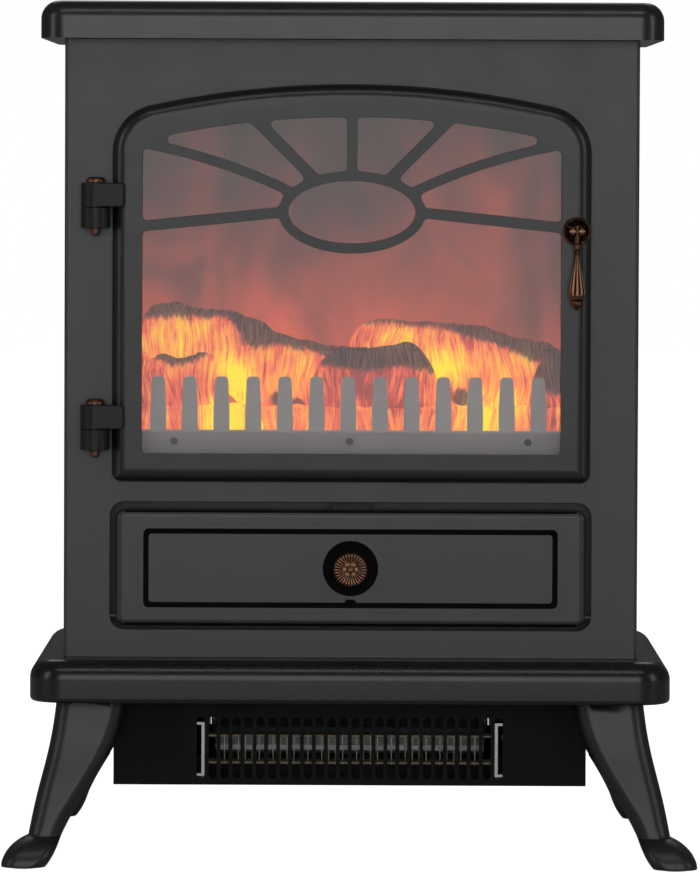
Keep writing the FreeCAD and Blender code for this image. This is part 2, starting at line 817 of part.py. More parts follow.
def switch_housings():
    """Snap-in rocker switch bodies with a bezel in front of the tray floor."""
    made = []
    for x in rocker_xs:
        z = flap_mid_z
        bezel = box(x - bezel_half_width, x + bezel_half_width, tray_floor - bezel_depth, tray_floor,
                    z - bezel_half_height, z + bezel_half_height)
        bezel = bezel.makeFillet(bezel_radius, edges_along(bezel, Y))
        blade_y = tray_floor + switch_depth
        body = box(x - switch_half_width, x + switch_half_width, tray_floor - 1, blade_y,
                   z - switch_half_height, z + switch_half_height)
        hollow = box(x - cavity_half_width, x + cavity_half_width, tray_floor - bezel_depth - 1,
                     tray_floor + cavity_depth, z - cavity_half_height, z + cavity_half_height)
        blades = [box(x - blade_width / 2, x + blade_width / 2, blade_y, blade_y + blade_length,
                      z + dz - blade_thickness / 2, z + dz + blade_thickness / 2)
                  for dz in (-blade_pitch, 0, blade_pitch)]
        pivot = rod(rocker_pin_radius + pin_play, point(x - rocker_pin_pocket, rocker_axis_y, z), X,
                    2 * rocker_pin_pocket)
        made.append(bezel.fuse(body).cut([hollow, pivot]).fuse(blades))
    return Part.makeCompound(made)


def rocker(x):
    """Shallow V-shaped rocker on two stub pins, made level and then tipped to its off position."""
    h = rocker_half_height
    profile = [(rocker_skirt, -h), (-rocker_crest, -h), (-rocker_valley, 0), (-rocker_crest, h), (rocker_skirt, h)]
    corners = [point(x - rocker_width / 2, rocker_axis_y + y, flap_mid_z + z) for y, z in profile]
    corners.append(corners[0])
    body = Part.Face(Part.makePolygon(corners)).extrude(X * rocker_width)
    stub = rod(rocker_pin_radius, point(x - rocker_width / 2 - rocker_pin_length, rocker_axis_y, flap_mid_z), X,
               rocker_width + 2 * rocker_pin_length)
    made = body.fuse(stub)
    made.rotate(point(x, rocker_axis_y, flap_mid_z), X, -rocker_rest_tilt)
    return made


def thermostat_dial():
    """Round dial with finger scallops, a raised pointer and a shaft into the thermostat."""
    y1 = tray_floor - dial_gap
    face = y1 - dial_height
    dial = rod(dial_radius, point(dial_x, face, flap_mid_z), Y, dial_height)
    dial = dial.makeFillet(dial_edge_radius, edges_in_plane(dial, "y", face))
    ring = dial_radius + dial_scallop_offset
    scallops = []
    for i in range(dial_scallops):
        turn = 2 * math.pi * (i + 0.5) / dial_scallops
        at = point(dial_x + ring * math.cos(turn), face - 1, flap_mid_z + ring * math.sin(turn))
        scallops.append(rod(dial_scallop_radius, at, Y, dial_height - 2))
    dial = dial.cut(scallops)
    pointer = box(dial_x - dial_pointer_width / 2, dial_x + dial_pointer_width / 2, face - dial_pointer_height,
                  face + 1, flap_mid_z + dial_pointer_start, flap_mid_z + dial_radius - dial_pointer_end)
    shaft = rod(dial_shaft_radius, point(dial_x, y1 - 1, flap_mid_z), Y, dial_shaft_length)
    return dial.fuse([pointer, shaft])


def thermostat_body():
    y0 = tray_floor + front_sheet
    body = rod(thermostat_radius, point(dial_x, y0, flap_mid_z), Y, thermostat_depth)
    body = body.fuse(box(dial_x - thermostat_ear_reach, dial_x + thermostat_ear_reach, y0,
                         y0 + thermostat_ear_thickness, flap_mid_z - 8, flap_mid_z + 8))
    blade_y = y0 + thermostat_depth
    terminals = []
    for x in (dial_x - thermostat_blade_offset, dial_x + thermostat_blade_offset):
        terminals.append(box(x - blade_width / 2, x + blade_width / 2, blade_y, blade_y + blade_length,
                             flap_mid_z - blade_thickness / 2, flap_mid_z + blade_thickness / 2))
    shaft_way = rod(dial_shaft_radius + pin_play, point(dial_x, y0 - 1, flap_mid_z), Y, dial_shaft_length + 2)
    return body.fuse(terminals).cut(shaft_way)


def top_plate():
    """Pressed steel top: a rounded pan with a lip turned in below, fixed down on the cabinet."""
    outer = rounded_slab(body_half + top_side_overhang, body_front - top_front_overhang,
                         body_back + top_rear_overhang, body_z1, top_z1, top_plan_radius, top_nose_radius, 0)
    inner = rounded_slab(body_half + top_side_overhang - pan_wall, body_front - top_front_overhang + pan_wall,
                         body_back + top_rear_overhang - pan_wall, body_z1 + pan_wall, top_z1 - pan_wall,
                         top_plan_radius - pan_wall, top_nose_radius - pan_wall, 0)
    mouth = box(-body_half + flange, body_half - flange, body_front + flange, body_back - flange,
                body_z1 - 1, body_z1 + pan_wall + 1)
    return outer.cut([inner, mouth])


def base_plate():
    """Pressed steel base: a rounded pan, open below, that takes the legs and the heater."""
    outer = rounded_slab(base_half, base_front, base_back, base_z0, base_z1, base_plan_radius,
                         base_nose_radius, base_heel_radius)
    inner = rounded_slab(base_half - pan_wall * 2, base_front + pan_wall * 2, base_back - pan_wall * 2,
                         base_z0 - 20, base_roof, base_plan_radius - pan_wall * 2,
                         base_nose_radius - pan_wall, 0)
    wire_way = rod(9, point(housing_half - 30, housing_back - 30, base_roof - 1), Z, pan_wall + 2)
    holes = screw_holes(leg_bolt_places(), Z, leg_bolt_radius, leg_bolt_length + 2)
    return outer.cut([inner, wire_way] + holes)


def leg_levels():
    """Height above the floor, outward reach and section width of a leg, from its top to the floor."""
    shares = [(1.0, 0.0, 43.2), (0.765, 3.4, 40.6), (0.583, 7.6, 35.1), (0.431, 11.5, 29.4),
              (0.31, 14.2, 24.8), (0.186, 16.6, 20.8)]
    foot = [(0.186, 16.6, 20.8), (0.127, 26.6, 28.6), (0.069, 31.2, 30.4), (0.01, leg_splay, 27.5)]
    return ([(share * leg_height, reach, width) for share, reach, width in shares],
            [(share * leg_height, reach, width) for share, reach, width in foot])


def rounded_square(x1, y1, width, z, radius):
    """Wire of a rounded square whose far corner is at (x1, y1)."""
    x0 = x1 - width
    y0 = y1 - width
    r = min(radius, width * 0.42)
    q = r * (1 - math.sqrt(0.5))
    spots = [
        (x0 + r, y0), (x1 - r, y0), (x1 - q, y0 + q), (x1, y0 + r), (x1, y1 - r), (x1 - q, y1 - q),
        (x1 - r, y1), (x0 + r, y1), (x0 + q, y1 - q), (x0, y1 - r), (x0, y0 + r), (x0 + q, y0 + q)]
    p = [point(x, y, z) for x, y in spots]
    edges = [
        Part.makeLine(p[0], p[1]), Part.Arc(p[1], p[2], p[3]).toShape(), Part.makeLine(p[3], p[4]),
        Part.Arc(p[4], p[5], p[6]).toShape(), Part.makeLine(p[6], p[7]), Part.Arc(p[7], p[8], p[9]).toShape(),
        Part.makeLine(p[9], p[10]), Part.Arc(p[10], p[11], p[0]).toShape()]
    return Part.Wire(edges)


def leg_loft(levels, inset, lift, corner_radius):
    """A loft through the leg's sections, moved inwards by an inset and up by a lift."""
    return Part.makeLoft([
        rounded_square(leg_corner_x + reach - inset, leg_corner_y + reach - inset, width, z + lift, corner_radius)
        for z, reach, width in levels], True)


def leg(side, end):
    """Cast corner leg that splays to a toe, with an angle section above and a stem into the base."""
    upper, lower = leg_levels()
    shaft = leg_loft(upper, 0, 0, leg_corner_radius)
    foot = leg_loft(lower, 0, 0, leg_corner_radius)
    hollow = leg_loft(upper[:4], leg_wall, 1, leg_corner_radius / 2)
    stem_in = leg_stem_inset
    stem_out = leg_stem_inset + leg_stem_width
    stem = box(leg_corner_x - stem_out, leg_corner_x - stem_in, leg_corner_y - stem_out, leg_corner_y - stem_in,
               base_z0, base_roof)
    made = shaft.cut(hollow).fuse([foot, stem])
    pad_at = leg_splay - foot_pad_inset
    pad_socket = rod(foot_pad_radius, point(leg_corner_x + pad_at, leg_corner_y + pad_at, -1), Z,
                     1 + foot_pad_height + screw_play)
    bolt_at = [point(leg_corner_x - leg_bolt_inset, leg_corner_y - leg_bolt_inset, base_z1)]
    made = made.cut([pad_socket] + screw_holes(bolt_at, Z, leg_bolt_radius, leg_bolt_length + 2))
    if end > 0:
        made.translate(-X * rear_leg_step)
    else:
        made = made.mirror(point(0, 0, 0), Y)
    return made if side > 0 else mirrored(made)


def leg_row_x(end):
    """Half width between the legs' outer faces at one end. The rear pair stands a little closer."""
    return leg_corner_x - (rear_leg_step if end > 0 else 0)


def foot_pad_centre(side, end):
    reach = leg_splay - foot_pad_inset
    return point(side * (leg_row_x(end) + reach), end * (leg_corner_y + reach), 0)


def foot_pads():
    """Felt glides let into the soles."""
    centres = [foot_pad_centre(side, end) for side in (-1, 1) for end in (-1, 1)]
    return Part.makeCompound([rod(foot_pad_radius - screw_play, at, Z, foot_pad_height) for at in centres])


def leg_bolt_places():
    """One bolt per leg, down through the base into the leg's stem, inboard of the side panels' feet."""
    y = leg_corner_y - leg_bolt_inset
    return [point(side * (leg_row_x(end) - leg_bolt_inset), end * y, base_z1)
            for side in (-1, 1) for end in (-1, 1)]


def leg_bolts():
    return Part.makeCompound([
        screw(at, Z, leg_bolt_head_radius, leg_bolt_head_height, leg_bolt_radius, leg_bolt_length)
        for at in leg_bolt_places()])


def front_panel():
    """Cabinet front: a folded sheet with the door opening above and the flap opening below."""
    panel = box(-body_half, body_half, body_front, body_front + front_return, body_z0, body_z1)
    panel = panel.makeFillet(2.4, edges_along(panel, Z, lambda middle: middle.y < body_front + 1))
    inner = box(-body_half + front_sheet, body_half - front_sheet, panel_back, body_front + front_return + 1,
                body_z0 - 1, body_z1 + 1)
    panel = panel.cut(inner)
    crown = door_z1 - panel_lap
    opening = arched_block(door_half - panel_lap, door_z0 + panel_lap, crown, door_crown_radius - panel_lap,
                           body_front - 1, panel_back + 1)
    high = edges_along(opening, Y, lambda middle: middle.z > door_z0 + 40)
    opening = opening.makeFillet(door_shoulder_radius - panel_lap, high)
    slot = box(-flap_open_half, flap_open_half, body_front - 1, panel_back + 1, flap_open_z0, flap_open_z1)
    slot = slot.makeFillet(flap_opening_radius, edges_along(slot, Y))
    return panel.cut([opening, slot])


def side_panel(side):
    """Folded side sheet. Its front edge steps in behind the front's return, its rear takes the cover."""
    y0 = body_front + front_return + sheet_gap
    y1 = body_back - sheet
    x1 = body_half
    inner = x1 - front_sheet - sheet_gap
    wall = box(x1 - sheet, x1, y0, body_back, body_z0, body_z1)
    step = box(inner - sheet, x1, y0, y0 + sheet, body_z0, body_z1)
    tongue = box(inner - sheet, inner, y0 - 8, y0 + sheet, body_z0, body_z1)
    rear = box(x1 - flange, x1, y1 - sheet, y1, body_z0, body_z1)
    foot = box(x1 - flange, x1, y0, y1, body_z0, body_z0 + sheet)
    head = box(x1 - flange, x1, y0, y1, body_z1 - sheet, body_z1)
    made = wall.fuse([step, tongue, rear, foot, head])
    right_places = [at for at in rear_screw_places() if at.x > 0]
    made = made.cut(screw_holes(right_places, Y, cover_screw_radius, cover_screw_length + 1))
    return made if side > 0 else mirrored(made)


def rear_screw_places():
    x = body_half - flange / 2 - 0.6
    pitch = (body_height - 2 * cover_screw_end) / (cover_screw_levels - 1)
    levels = [body_z0 + cover_screw_end + i * pitch for i in range(cover_screw_levels)]
    return [point(side * x, body_back, z) for side in (-1, 1) for z in levels]


def rear_cover():
    """Rear cover sheet with louvre slots and the hole for the mains lead gland."""
    half = body_half - sheet - sheet_gap
    cover = box(-half, half, body_back - sheet, body_back, body_z0, body_z1)
    slots = []
    for row in range(louvre_rows):
        for column in (-1, 0, 1):
            z = body_z1 - louvre_top_gap - row * louvre_pitch
            x = column * (louvre_length + louvre_gap)
            slot = box(x - louvre_length / 2, x + louvre_length / 2, body_back - 3, body_back + 2,
                       z - louvre_height / 2, z + louvre_height / 2)
            slots.append(slot.makeFillet(louvre_height / 2 - 0.05, edges_along(slot, Y)))
    slots.append(rod(gland_thread_radius, point(gland_x, body_back - 5, gland_z), Y, 10))
    return cover.cut(slots + screw_holes(rear_screw_places(), Y, cover_screw_radius, cover_screw_length + 1))


def rear_cover_screws():
    return Part.makeCompound([
        screw(at, Y, cover_screw_head_radius, cover_screw_head_height, cover_screw_radius, cover_screw_length)
        for at in rear_screw_places()])


def cable_gland():
    """Screwed gland in the rear cover for a round mains lead, with its bore open both ways."""
    centre = point(gland_x, body_back, gland_z)
    inside = sheet + gland_nut_thickness
    thread = rod(gland_thread_radius - screw_play, centre - Y * inside, Y, inside)
    nose = turned_profile([
        (0, 0), (gland_flange_radius, 0), (gland_flange_radius, gland_nose * 0.45),
        (gland_flange_radius - 2, gland_nose * 0.55), (gland_thread_radius - 1, gland_nose), (0, gland_nose)],
        centre, Y)
    nut = rod(gland_flange_radius, centre - Y * inside, Y, gland_nut_thickness)
    bore = rod(gland_bore_radius, centre - Y * 20, Y, 40)
    return thread.fuse([nose, nut]).cut(bore)


def terminal_block():
    x0 = gland_x + terminal_offset
    y0 = body_back - terminal_rear_gap
    block = box(x0, x0 + terminal_length, y0, y0 + terminal_depth, body_z0, body_z0 + terminal_height)
    cuts = []
    for i in range(terminal_ways):
        x = x0 + terminal_end + i * terminal_pitch
        cuts.append(rod(terminal_wire_radius, point(x, y0 - 1, body_z0 + 5), Y, terminal_depth + 2))
        cuts.append(rod(terminal_screw_radius, point(x, y0 + 4, body_z0 + 8), Z, terminal_height - 6))
    return block.cut(cuts)


def heater_housing():
    """Sheet box hung inside the base, with the outlet grille in front and an inlet behind."""
    shell = box(-housing_half, housing_half, housing_front, housing_back, housing_z0, base_roof)
    hollow = box(-housing_half + sheet, housing_half - sheet, housing_front + sheet, housing_back - sheet,
                 housing_z0 + sheet, base_roof + 1)
    shell = shell.cut(hollow)
    lips = []
    for y0, y1 in ((housing_front - 10, housing_front + sheet), (housing_back - sheet, housing_back + 10)):
        lips.append(box(-housing_half + 20, housing_half - 20, y0, y1, base_roof - sheet, base_roof))
    shell = shell.fuse(lips)
    slots = []
    z0 = housing_z0 + slot_rise
    for i in range(slot_count):
        x = (i - (slot_count - 1) / 2) * slot_pitch
        for y in (housing_front, housing_back):
            slot = box(x - slot_width / 2, x + slot_width / 2, y - 3, y + 3, z0, z0 + slot_height)
            slots.append(slot.makeFillet(slot_width / 2 - 0.02, edges_along(slot, Y)))
    return shell.cut(slots)


def element_brackets():
    """Bright steel channel ends that hold the element, with tabs turned out to the housing wall."""
    made = []
    half = element_length / 2
    z0 = housing_z0 + bracket_rise
    z1 = z0 + bracket_height
    y0 = housing_front + sheet + 0.5
    floor = housing_z0 + sheet
    for side in (-1, 1):
        web = box(half, half + bracket_web, y0, element_y1, z0, z1)
        low = box(half, half + bracket_tab, y0, y0 + bracket_tab_depth, z0, z0 + bracket_tab_thickness)
        high = box(half, half + bracket_tab, y0, y0 + bracket_tab_depth, z1 - bracket_tab_thickness, z1)
        foot = box(half, half + bracket_tab, element_y1 - bracket_tab_depth, element_y1, floor,
                   floor + bracket_tab_thickness)
        riser = box(half, half + bracket_web, element_y1 - bracket_tab_depth, element_y1, floor, z0 + 1)
        shape = web.fuse([low, high, foot, riser])
        made.append(shape if side > 0 else mirrored(shape))
    return Part.makeCompound(made)


def mica_boards():
    half = element_length / 2 - board_end_play
    made = []
    for rise in (element_low, element_high):
        z = housing_z0 + rise
        board = box(-half, half, element_y0, element_y1, z - board_thickness / 2, z + board_thickness / 2)
        holes = [rod(wire_radius + 0.1, point(x, y, z - 2), Z, 4) for x, y in wire_places()]
        made.append(board.cut(holes))
    return Part.makeCompound(made)


def wire_places():
    count = int((element_length - 2 * wire_edge) / wire_pitch)
    start = -(count - 1) * wire_pitch / 2
    rows = (element_y0 + wire_edge, element_y1 - wire_edge)
    return [(start + i * wire_pitch, y) for i in range(count) for y in rows]


def element_wires():
    """Heating wire laced up and down between the mica boards."""
    z0 = housing_z0 + element_low - wire_stand
    length = element_high - element_low + 2 * wire_stand
    return Part.makeCompound([rod(wire_radius, point(x, y, z0), Z, length) for x, y in wire_places()])


def fan_scroll():
    """Bent sheet scroll round the cross-flow impeller, with an end plate at each side."""
    half = fan_length / 2 + scroll_end_gap
    reach = fan_radius + fan_gap
    centre = point(-half, fan_y, fan_z)
    shell = rod(reach + sheet, centre, X, 2 * half).cut(rod(reach, centre - X, X, 2 * half + 2))
    outlet = box(-half - 1, half + 1, fan_y - reach - 5, fan_y - 5, fan_z - reach - 5, fan_z + 8)
    inlet = box(-half - 1, half + 1, fan_y + 12, fan_y + reach + 5, fan_z - 14, fan_z + reach + 5)
    shell = shell.cut([outlet, inlet])
    plates = []
    for x0 in (-half - sheet, half):
        plate = box(x0, x0 + sheet, fan_y - reach - sheet, fan_y + reach + sheet, housing_z0 + sheet,
                    fan_z + reach + sheet)
        plates.append(plate.cut(rod(fan_shaft_radius + pin_play, point(x0 - 1, fan_y, fan_z), X, 4)))
    return shell.fuse(plates)


def fan_impeller():
    """Cross-flow impeller: forward-curved blades between two discs on one shaft."""
    half = fan_length / 2
    centre = point(-half, fan_y, fan_z)
    discs = [rod(fan_radius, centre, X, disc_thickness),
             rod(fan_radius, point(half - disc_thickness, fan_y, fan_z), X, disc_thickness)]
    blades = []
    for i in range(fan_blades):
        blade = box(-half, half, fan_y - fan_blade_thickness / 2, fan_y + fan_blade_thickness / 2,
                    fan_z + fan_radius - fan_blade_inner, fan_z + fan_radius - fan_blade_outer)
        blade.rotate(point(0, fan_y, fan_z + fan_radius - fan_blade_pivot), X, fan_blade_lean)
        blade.rotate(point(0, fan_y, fan_z), X, 360.0 * i / fan_blades)
        blades.append(blade)
    shaft = rod(fan_shaft_radius, point(-half - shaft_left_end, fan_y, fan_z), X,
                fan_length + shaft_left_end + shaft_right_end)
    return shaft.fuse(discs + blades)


def fan_motor():
    """Shaded-pole motor on the right end plate: a round can with a laminated block round it."""
    x0 = fan_length / 2 + scroll_end_gap + sheet
    can = rod(motor_radius, point(x0, fan_y, fan_z), X, motor_length)
    stack = box(x0 + stack_start, x0 + stack_start + stack_thickness, fan_y - stack_half, fan_y + stack_half,
                fan_z - stack_half, fan_z + stack_half)
    stack = stack.makeFillet(stack_radius, edges_along(stack, X))
    shaft_way = rod(fan_shaft_radius + pin_play, point(x0 - 1, fan_y, fan_z), X, motor_length - 2)
    return can.fuse(stack).cut(shaft_way)


def thermal_cutout():
    """Resetting cut-out riveted on the scroll's left end plate, beside the element."""
    x1 = -(fan_length / 2 + scroll_end_gap + sheet)
    y = element_y1 + 5
    body = rod(cutout_radius, point(x1 - cutout_depth, y + 12, fan_z + 6), X, cutout_depth)
    ears = box(x1 - cutout_ear_thickness, x1, y + 2, y + 22, fan_z + 3, fan_z + 9)
    return body.fuse(ears)


def fuel_tray():
    """Steel shelf under the fuel bed. Its front lip carries the fret."""
    half = flame_half - tray_end_gap
    shelf = box(-half, half, tray_front, tray_back, bed_z - sheet, bed_z)
    lip = box(-half, half, tray_front, tray_front + sheet, bed_z - tray_lip_drop, bed_z + tray_lip_rise)
    back = box(-half, half, tray_back - sheet, tray_back, bed_z - sheet, bed_z + tray_back_rise)
    foot_z = flap_open_z1 + tray_lap
    legs = [box(x, x + sheet, tray_front, tray_back, foot_z, bed_z) for x in (-half, half - sheet)]
    tray = shelf.fuse([lip, back] + legs)
    return tray.cut(screw_holes(fret_screw_places(), -Y, fret_screw_radius, fret_screw_length + 1))


def grate_fret():
    """Comb-shaped fret that stands in front of the fuel bed."""
    y1 = tray_front
    y0 = y1 - fret_thickness
    half = window_half + fret_end_lap
    rail_z = door_z0 + fret_rail_top
    tooth_z = door_z0 + fret_tooth_top
    rail = box(-half, half, y0, y1, bed_z - 6, rail_z)
    teeth = []
    for i in range(fret_tooth_count):
        x = fret_offset + (i - (fret_tooth_count - 1) / 2) * fret_tooth_pitch
        root = fret_tooth_root / 2
        tip = fret_tooth_tip / 2
        tooth = profile_y([(x - root, rail_z - 1), (x + root, rail_z - 1), (x + root, rail_z + fret_tooth_shank),
                           (x + tip, tooth_z), (x - tip, tooth_z), (x - root, rail_z + fret_tooth_shank)], y0, y1)
        tips = edges_along(tooth, Y, lambda middle: middle.z > tooth_z - 1)
        teeth.append(tooth.makeFillet(fret_tip_radius, tips))
    fret = rail.fuse(teeth).removeSplitter()
    return fret.cut(screw_holes(fret_screw_places(), -Y, fret_screw_radius, fret_screw_length + 1))


def fret_screw_places():
    y = tray_front - fret_thickness
    end = window_half - fret_screw_end
    return [point(x, y, door_z0 + fret_screw_rise) for x in (-end, fret_screw_middle, end)]


def fret_screws():
    return Part.makeCompound([
        screw(at, -Y, fret_screw_head_radius, fret_screw_head_height, fret_screw_radius, fret_screw_length)
        for at in fret_screw_places()])


def fuel_bed():
    """Moulded fuel bed: a heap of embers with split logs laid across it."""
    half = flame_half - bed_end_gap
    y0 = tray_front + bed_edge_gap
    y1 = tray_back - bed_edge_gap
    bed = box(-half, half, y0, y1, bed_z, bed_z + heap_height)
    bed = bed.makeFillet(heap_radius, edges_in_plane(bed, "z", bed_z + heap_height))
    logs = []
    log_runs = [
        (-half + 2, -6.0, 74.0, 46.0, 34.0, 22.0), (10.0, half - 2, 62.0, 50.0, 38.0, 21.0),
        (-half + 8, -60.0, 44.0, 40.0, 16.0, 14.0), (-8.0, 42.0, 52.0, 42.0, 20.0, 16.0),
        (70.0, half - 6, 44.0, 42.0, 16.0, 13.0)]
    for x0, x1, z0, z1, back, radius in log_runs:
        start = point(x0, y0 + back, bed_z + z0 - radius * 0.2)
        end = point(x1, y0 + back + 4, bed_z + z1 - radius * 0.2)
        run = end - start
        logs.append(rod(radius, start, run, run.Length))
    made = bed.fuse(logs)
    return made.common(box(-half, half, y0, y1, bed_z, flame_top))


def firebox_liner():
    """Dark lining between the cabinet front and the flame screen: two cheeks and a roof."""
    y0 = panel_back + 12
    y1 = screen_y
    z0 = bed_z + 4
    half = flame_half
    outer = box(-half, half, y0, y1, z0, flame_top)
    inner = box(-half + sheet, half - sheet, y0 - 1, y1 + 1, z0 - 1, flame_top - sheet)
    return outer.cut(inner)


def flame_screen():
    """Translucent sheet on which the moving light shows as flames."""
    half = flame_half - sheet - 0.4
    return box(-half, half, screen_y + 0.2, screen_y + screen_thickness, bed_z + 5, flame_top - sheet - 0.4)


def flame_box():
    """Light box behind the screen: floor, cheeks, roof and back in folded sheet."""
    y0 = screen_y + 0.2
    outer = box(-flame_half, flame_half, y0, flame_back, bed_z - box_sill, flame_top)
    inner = box(-flame_half + sheet, flame_half - sheet, y0 - 1, flame_back - sheet, bed_z - box_sill + sheet,
                flame_top - sheet)
    hole = rod(spindle_radius + pin_play, point(-flame_half - 1, spindle_y, spindle_z), X, 2 * flame_half + 2)
    stands = [box(x, x + sheet, y0, flame_back, base_z1, bed_z - box_sill + 1)
              for x in (-stand_half, stand_half - sheet)]
    return outer.cut([inner, hole]).fuse(stands)


def flame_reflector():
    """Bent bright sheet behind the spindle that throws the light forward."""
    half = flame_half - sheet - 2
    y = flame_back - sheet
    profile = [(y - 26, bed_z + 8), (y - 2.4, bed_z + 34), (y - 2.4, flame_top - 14), (y - 1.4, flame_top - 14),
               (y - 1.4, bed_z + 33.6), (y - 25.2, bed_z + 7.4)]
    corners = [point(-half, a, b) for a, b in profile]
    corners.append(corners[0])
    return Part.Face(Part.makePolygon(corners)).extrude(X * 2 * half)


def flame_spindle():
    """Slow shaft with rows of small bright flags set round it in a spiral."""
    half = flame_half - sheet - spindle_end_gap
    shaft = rod(spindle_radius, point(-half - spindle_left_end, spindle_y, spindle_z), X,
                2 * half + spindle_left_end + spindle_right_end)
    flags = []
    pitch = (2 * half - 20) / spindle_flags
    for i in range(spindle_flags):
        x = -half + 10 + (i + 0.5) * pitch
        flag = box(x - spindle_flag_length / 2 + 1, x + spindle_flag_length / 2 - 1, spindle_y - flag_thickness / 2,
                   spindle_y + flag_thickness / 2, spindle_z - spindle_flag_reach, spindle_z + spindle_flag_reach)
        flag.rotate(point(0, spindle_y, spindle_z), X, i * flag_twist)
        flags.append(flag)
    return shaft.fuse(flags)


def spindle_motor():
    """Small geared motor outside the right cheek of the light box."""
    x0 = flame_half
    motor = rod(flame_motor_radius, point(x0, spindle_y, spindle_z), X, flame_motor_length)
    ears = box(x0, x0 + flame_motor_ear_thickness, spindle_y - flame_motor_ear_reach,
               spindle_y + flame_motor_ear_reach, spindle_z - flame_motor_ear_height / 2,
               spindle_z + flame_motor_ear_height / 2)
    return motor.fuse(ears).cut(rod(spindle_radius + pin_play, point(x0 - 1, spindle_y, spindle_z), X,
                                  flame_motor_length))


def spindle_bearing():
    """Plain bearing bush outside the left cheek."""
    bush = rod(bush_radius, point(-flame_half - bush_length, spindle_y, spindle_z), X, bush_length)
    return bush.cut(rod(spindle_radius + pin_play, point(-flame_half - bush_length - 1, spindle_y, spindle_z), X,
                        bush_length + 2))


def led_board():
    """Long lamp board on the floor of the light box."""
    z = bed_z - box_sill + sheet
    half = flame_half - lamp_board_end_gap
    return box(-half, half, spindle_y - 9, spindle_y + 5, z, z + lamp_board_thickness)


def led_lamps():
    z = bed_z - box_sill + sheet + lamp_board_thickness
    half = flame_half - lamp_end_gap
    lamps = []
    for i in range(lamp_count):
        x = -half + i * 2 * half / (lamp_count - 1)
        lamp = rod(lamp_radius, point(x, spindle_y - 2, z), Z, lamp_height)
        lamps.append(lamp.makeFillet(lamp_radius - 0.3, edges_in_plane(lamp, "z", z + lamp_height)))
    return Part.makeCompound(lamps)


def door_glass():
    return glass_rebate(glass_play)


def build_all():
    straps, brackets, pins = hinge_parts()
    return {
        "top_plate": top_plate(),
        "front_panel": front_panel(),
        "left_side_panel": side_panel(-1),
        "right_side_panel": side_panel(1),
        "rear_cover": rear_cover(),
        "rear_cover_screws": rear_cover_screws(),
        "base_plate": base_plate(),
        "leg_front_left": leg(-1, -1),
        "leg_front_right": leg(1, -1),
        "leg_rear_left": leg(-1, 1),
        "leg_rear_right": leg(1, 1),
        "foot_pads": foot_pads(),
        "leg_bolts": leg_bolts(),
        "heater_housing": heater_housing(),
        "element_brackets": element_brackets(),
        "mica_boards": mica_boards(),
        "element_wires": element_wires(),
        "fan_scroll": fan_scroll(),
        "fan_impeller": fan_impeller(),
        "fan_motor": fan_motor(),
        "thermal_cutout": thermal_cutout(),
        "fuel_tray": fuel_tray(),
        "fuel_bed": fuel_bed(),
        "grate_fret": grate_fret(),
        "fret_screws": fret_screws(),
        "firebox_liner": firebox_liner(),
        "flame_screen": flame_screen(),
        "flame_box": flame_box(),
        "flame_reflector": flame_reflector(),
        "flame_spindle": flame_spindle(),
        "spindle_motor": spindle_motor(),
        "spindle_bearing": spindle_bearing(),
        "led_board": led_board(),
        "led_lamps": led_lamps(),
        "control_tray": control_tray(),
        "switch_housings": switch_housings(),
        "power_rocker": rocker(rocker_xs[0]),
        "low_heat_rocker": rocker(rocker_xs[1]),
        "high_heat_rocker": rocker(rocker_xs[2]),
        "thermostat_dial": thermostat_dial(),
        "thermostat_body": thermostat_body(),
        "terminal_block": terminal_block(),
        "cable_gland": cable_gland(),
        "control_flap": control_flap(),
        "flap_knob": flap_knob(),
        "flap_pins": flap_pins(),
        "flap_hinge_brackets": flap_hinge_brackets(),
        "flap_catch": flap_catch(),
        "door_frame": door_frame(),
        "door_glass": door_glass(),
        "glass_clips": glass_clips(),
        "glass_clip_screws": glass_clip_screws(),
        "door_hinge_straps": straps,
        "hinge_brackets": brackets,
        "hinge_pins": pins,
        "door_strike": strike_block(0),
        "door_magnet": door_magnet(),
        "handle_rosette": handle_rosette(),
        "handle_pin": handle_pin(),
        "handle_drop": handle_drop(),
    }


os.makedirs("parts", exist_ok=True)
for node, shape in build_all().items():
    shape.exportStep("parts/" + node + ".step")
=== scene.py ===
import json
import math
import bmesh
import bpy
from mathutils import Euler, Matrix, Vector, noise

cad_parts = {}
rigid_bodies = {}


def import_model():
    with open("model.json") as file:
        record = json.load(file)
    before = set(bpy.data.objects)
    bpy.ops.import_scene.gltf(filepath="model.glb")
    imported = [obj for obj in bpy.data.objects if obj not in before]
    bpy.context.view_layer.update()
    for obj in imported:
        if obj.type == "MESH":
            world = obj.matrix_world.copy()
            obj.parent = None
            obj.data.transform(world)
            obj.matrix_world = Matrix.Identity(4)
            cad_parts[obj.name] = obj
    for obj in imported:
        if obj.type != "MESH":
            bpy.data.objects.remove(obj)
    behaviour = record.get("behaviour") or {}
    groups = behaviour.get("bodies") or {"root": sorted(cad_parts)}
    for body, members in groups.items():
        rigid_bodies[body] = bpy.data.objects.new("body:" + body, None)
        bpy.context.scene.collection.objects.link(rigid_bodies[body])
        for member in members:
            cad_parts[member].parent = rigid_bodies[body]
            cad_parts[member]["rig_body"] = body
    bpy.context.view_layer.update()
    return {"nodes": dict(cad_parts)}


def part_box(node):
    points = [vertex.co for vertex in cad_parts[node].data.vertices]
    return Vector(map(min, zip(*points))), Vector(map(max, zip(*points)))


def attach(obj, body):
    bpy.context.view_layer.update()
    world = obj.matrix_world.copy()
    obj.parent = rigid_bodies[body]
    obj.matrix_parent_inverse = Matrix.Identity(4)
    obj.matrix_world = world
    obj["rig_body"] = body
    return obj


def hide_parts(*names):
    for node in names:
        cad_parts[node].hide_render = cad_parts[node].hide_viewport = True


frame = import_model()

MM = 0.001


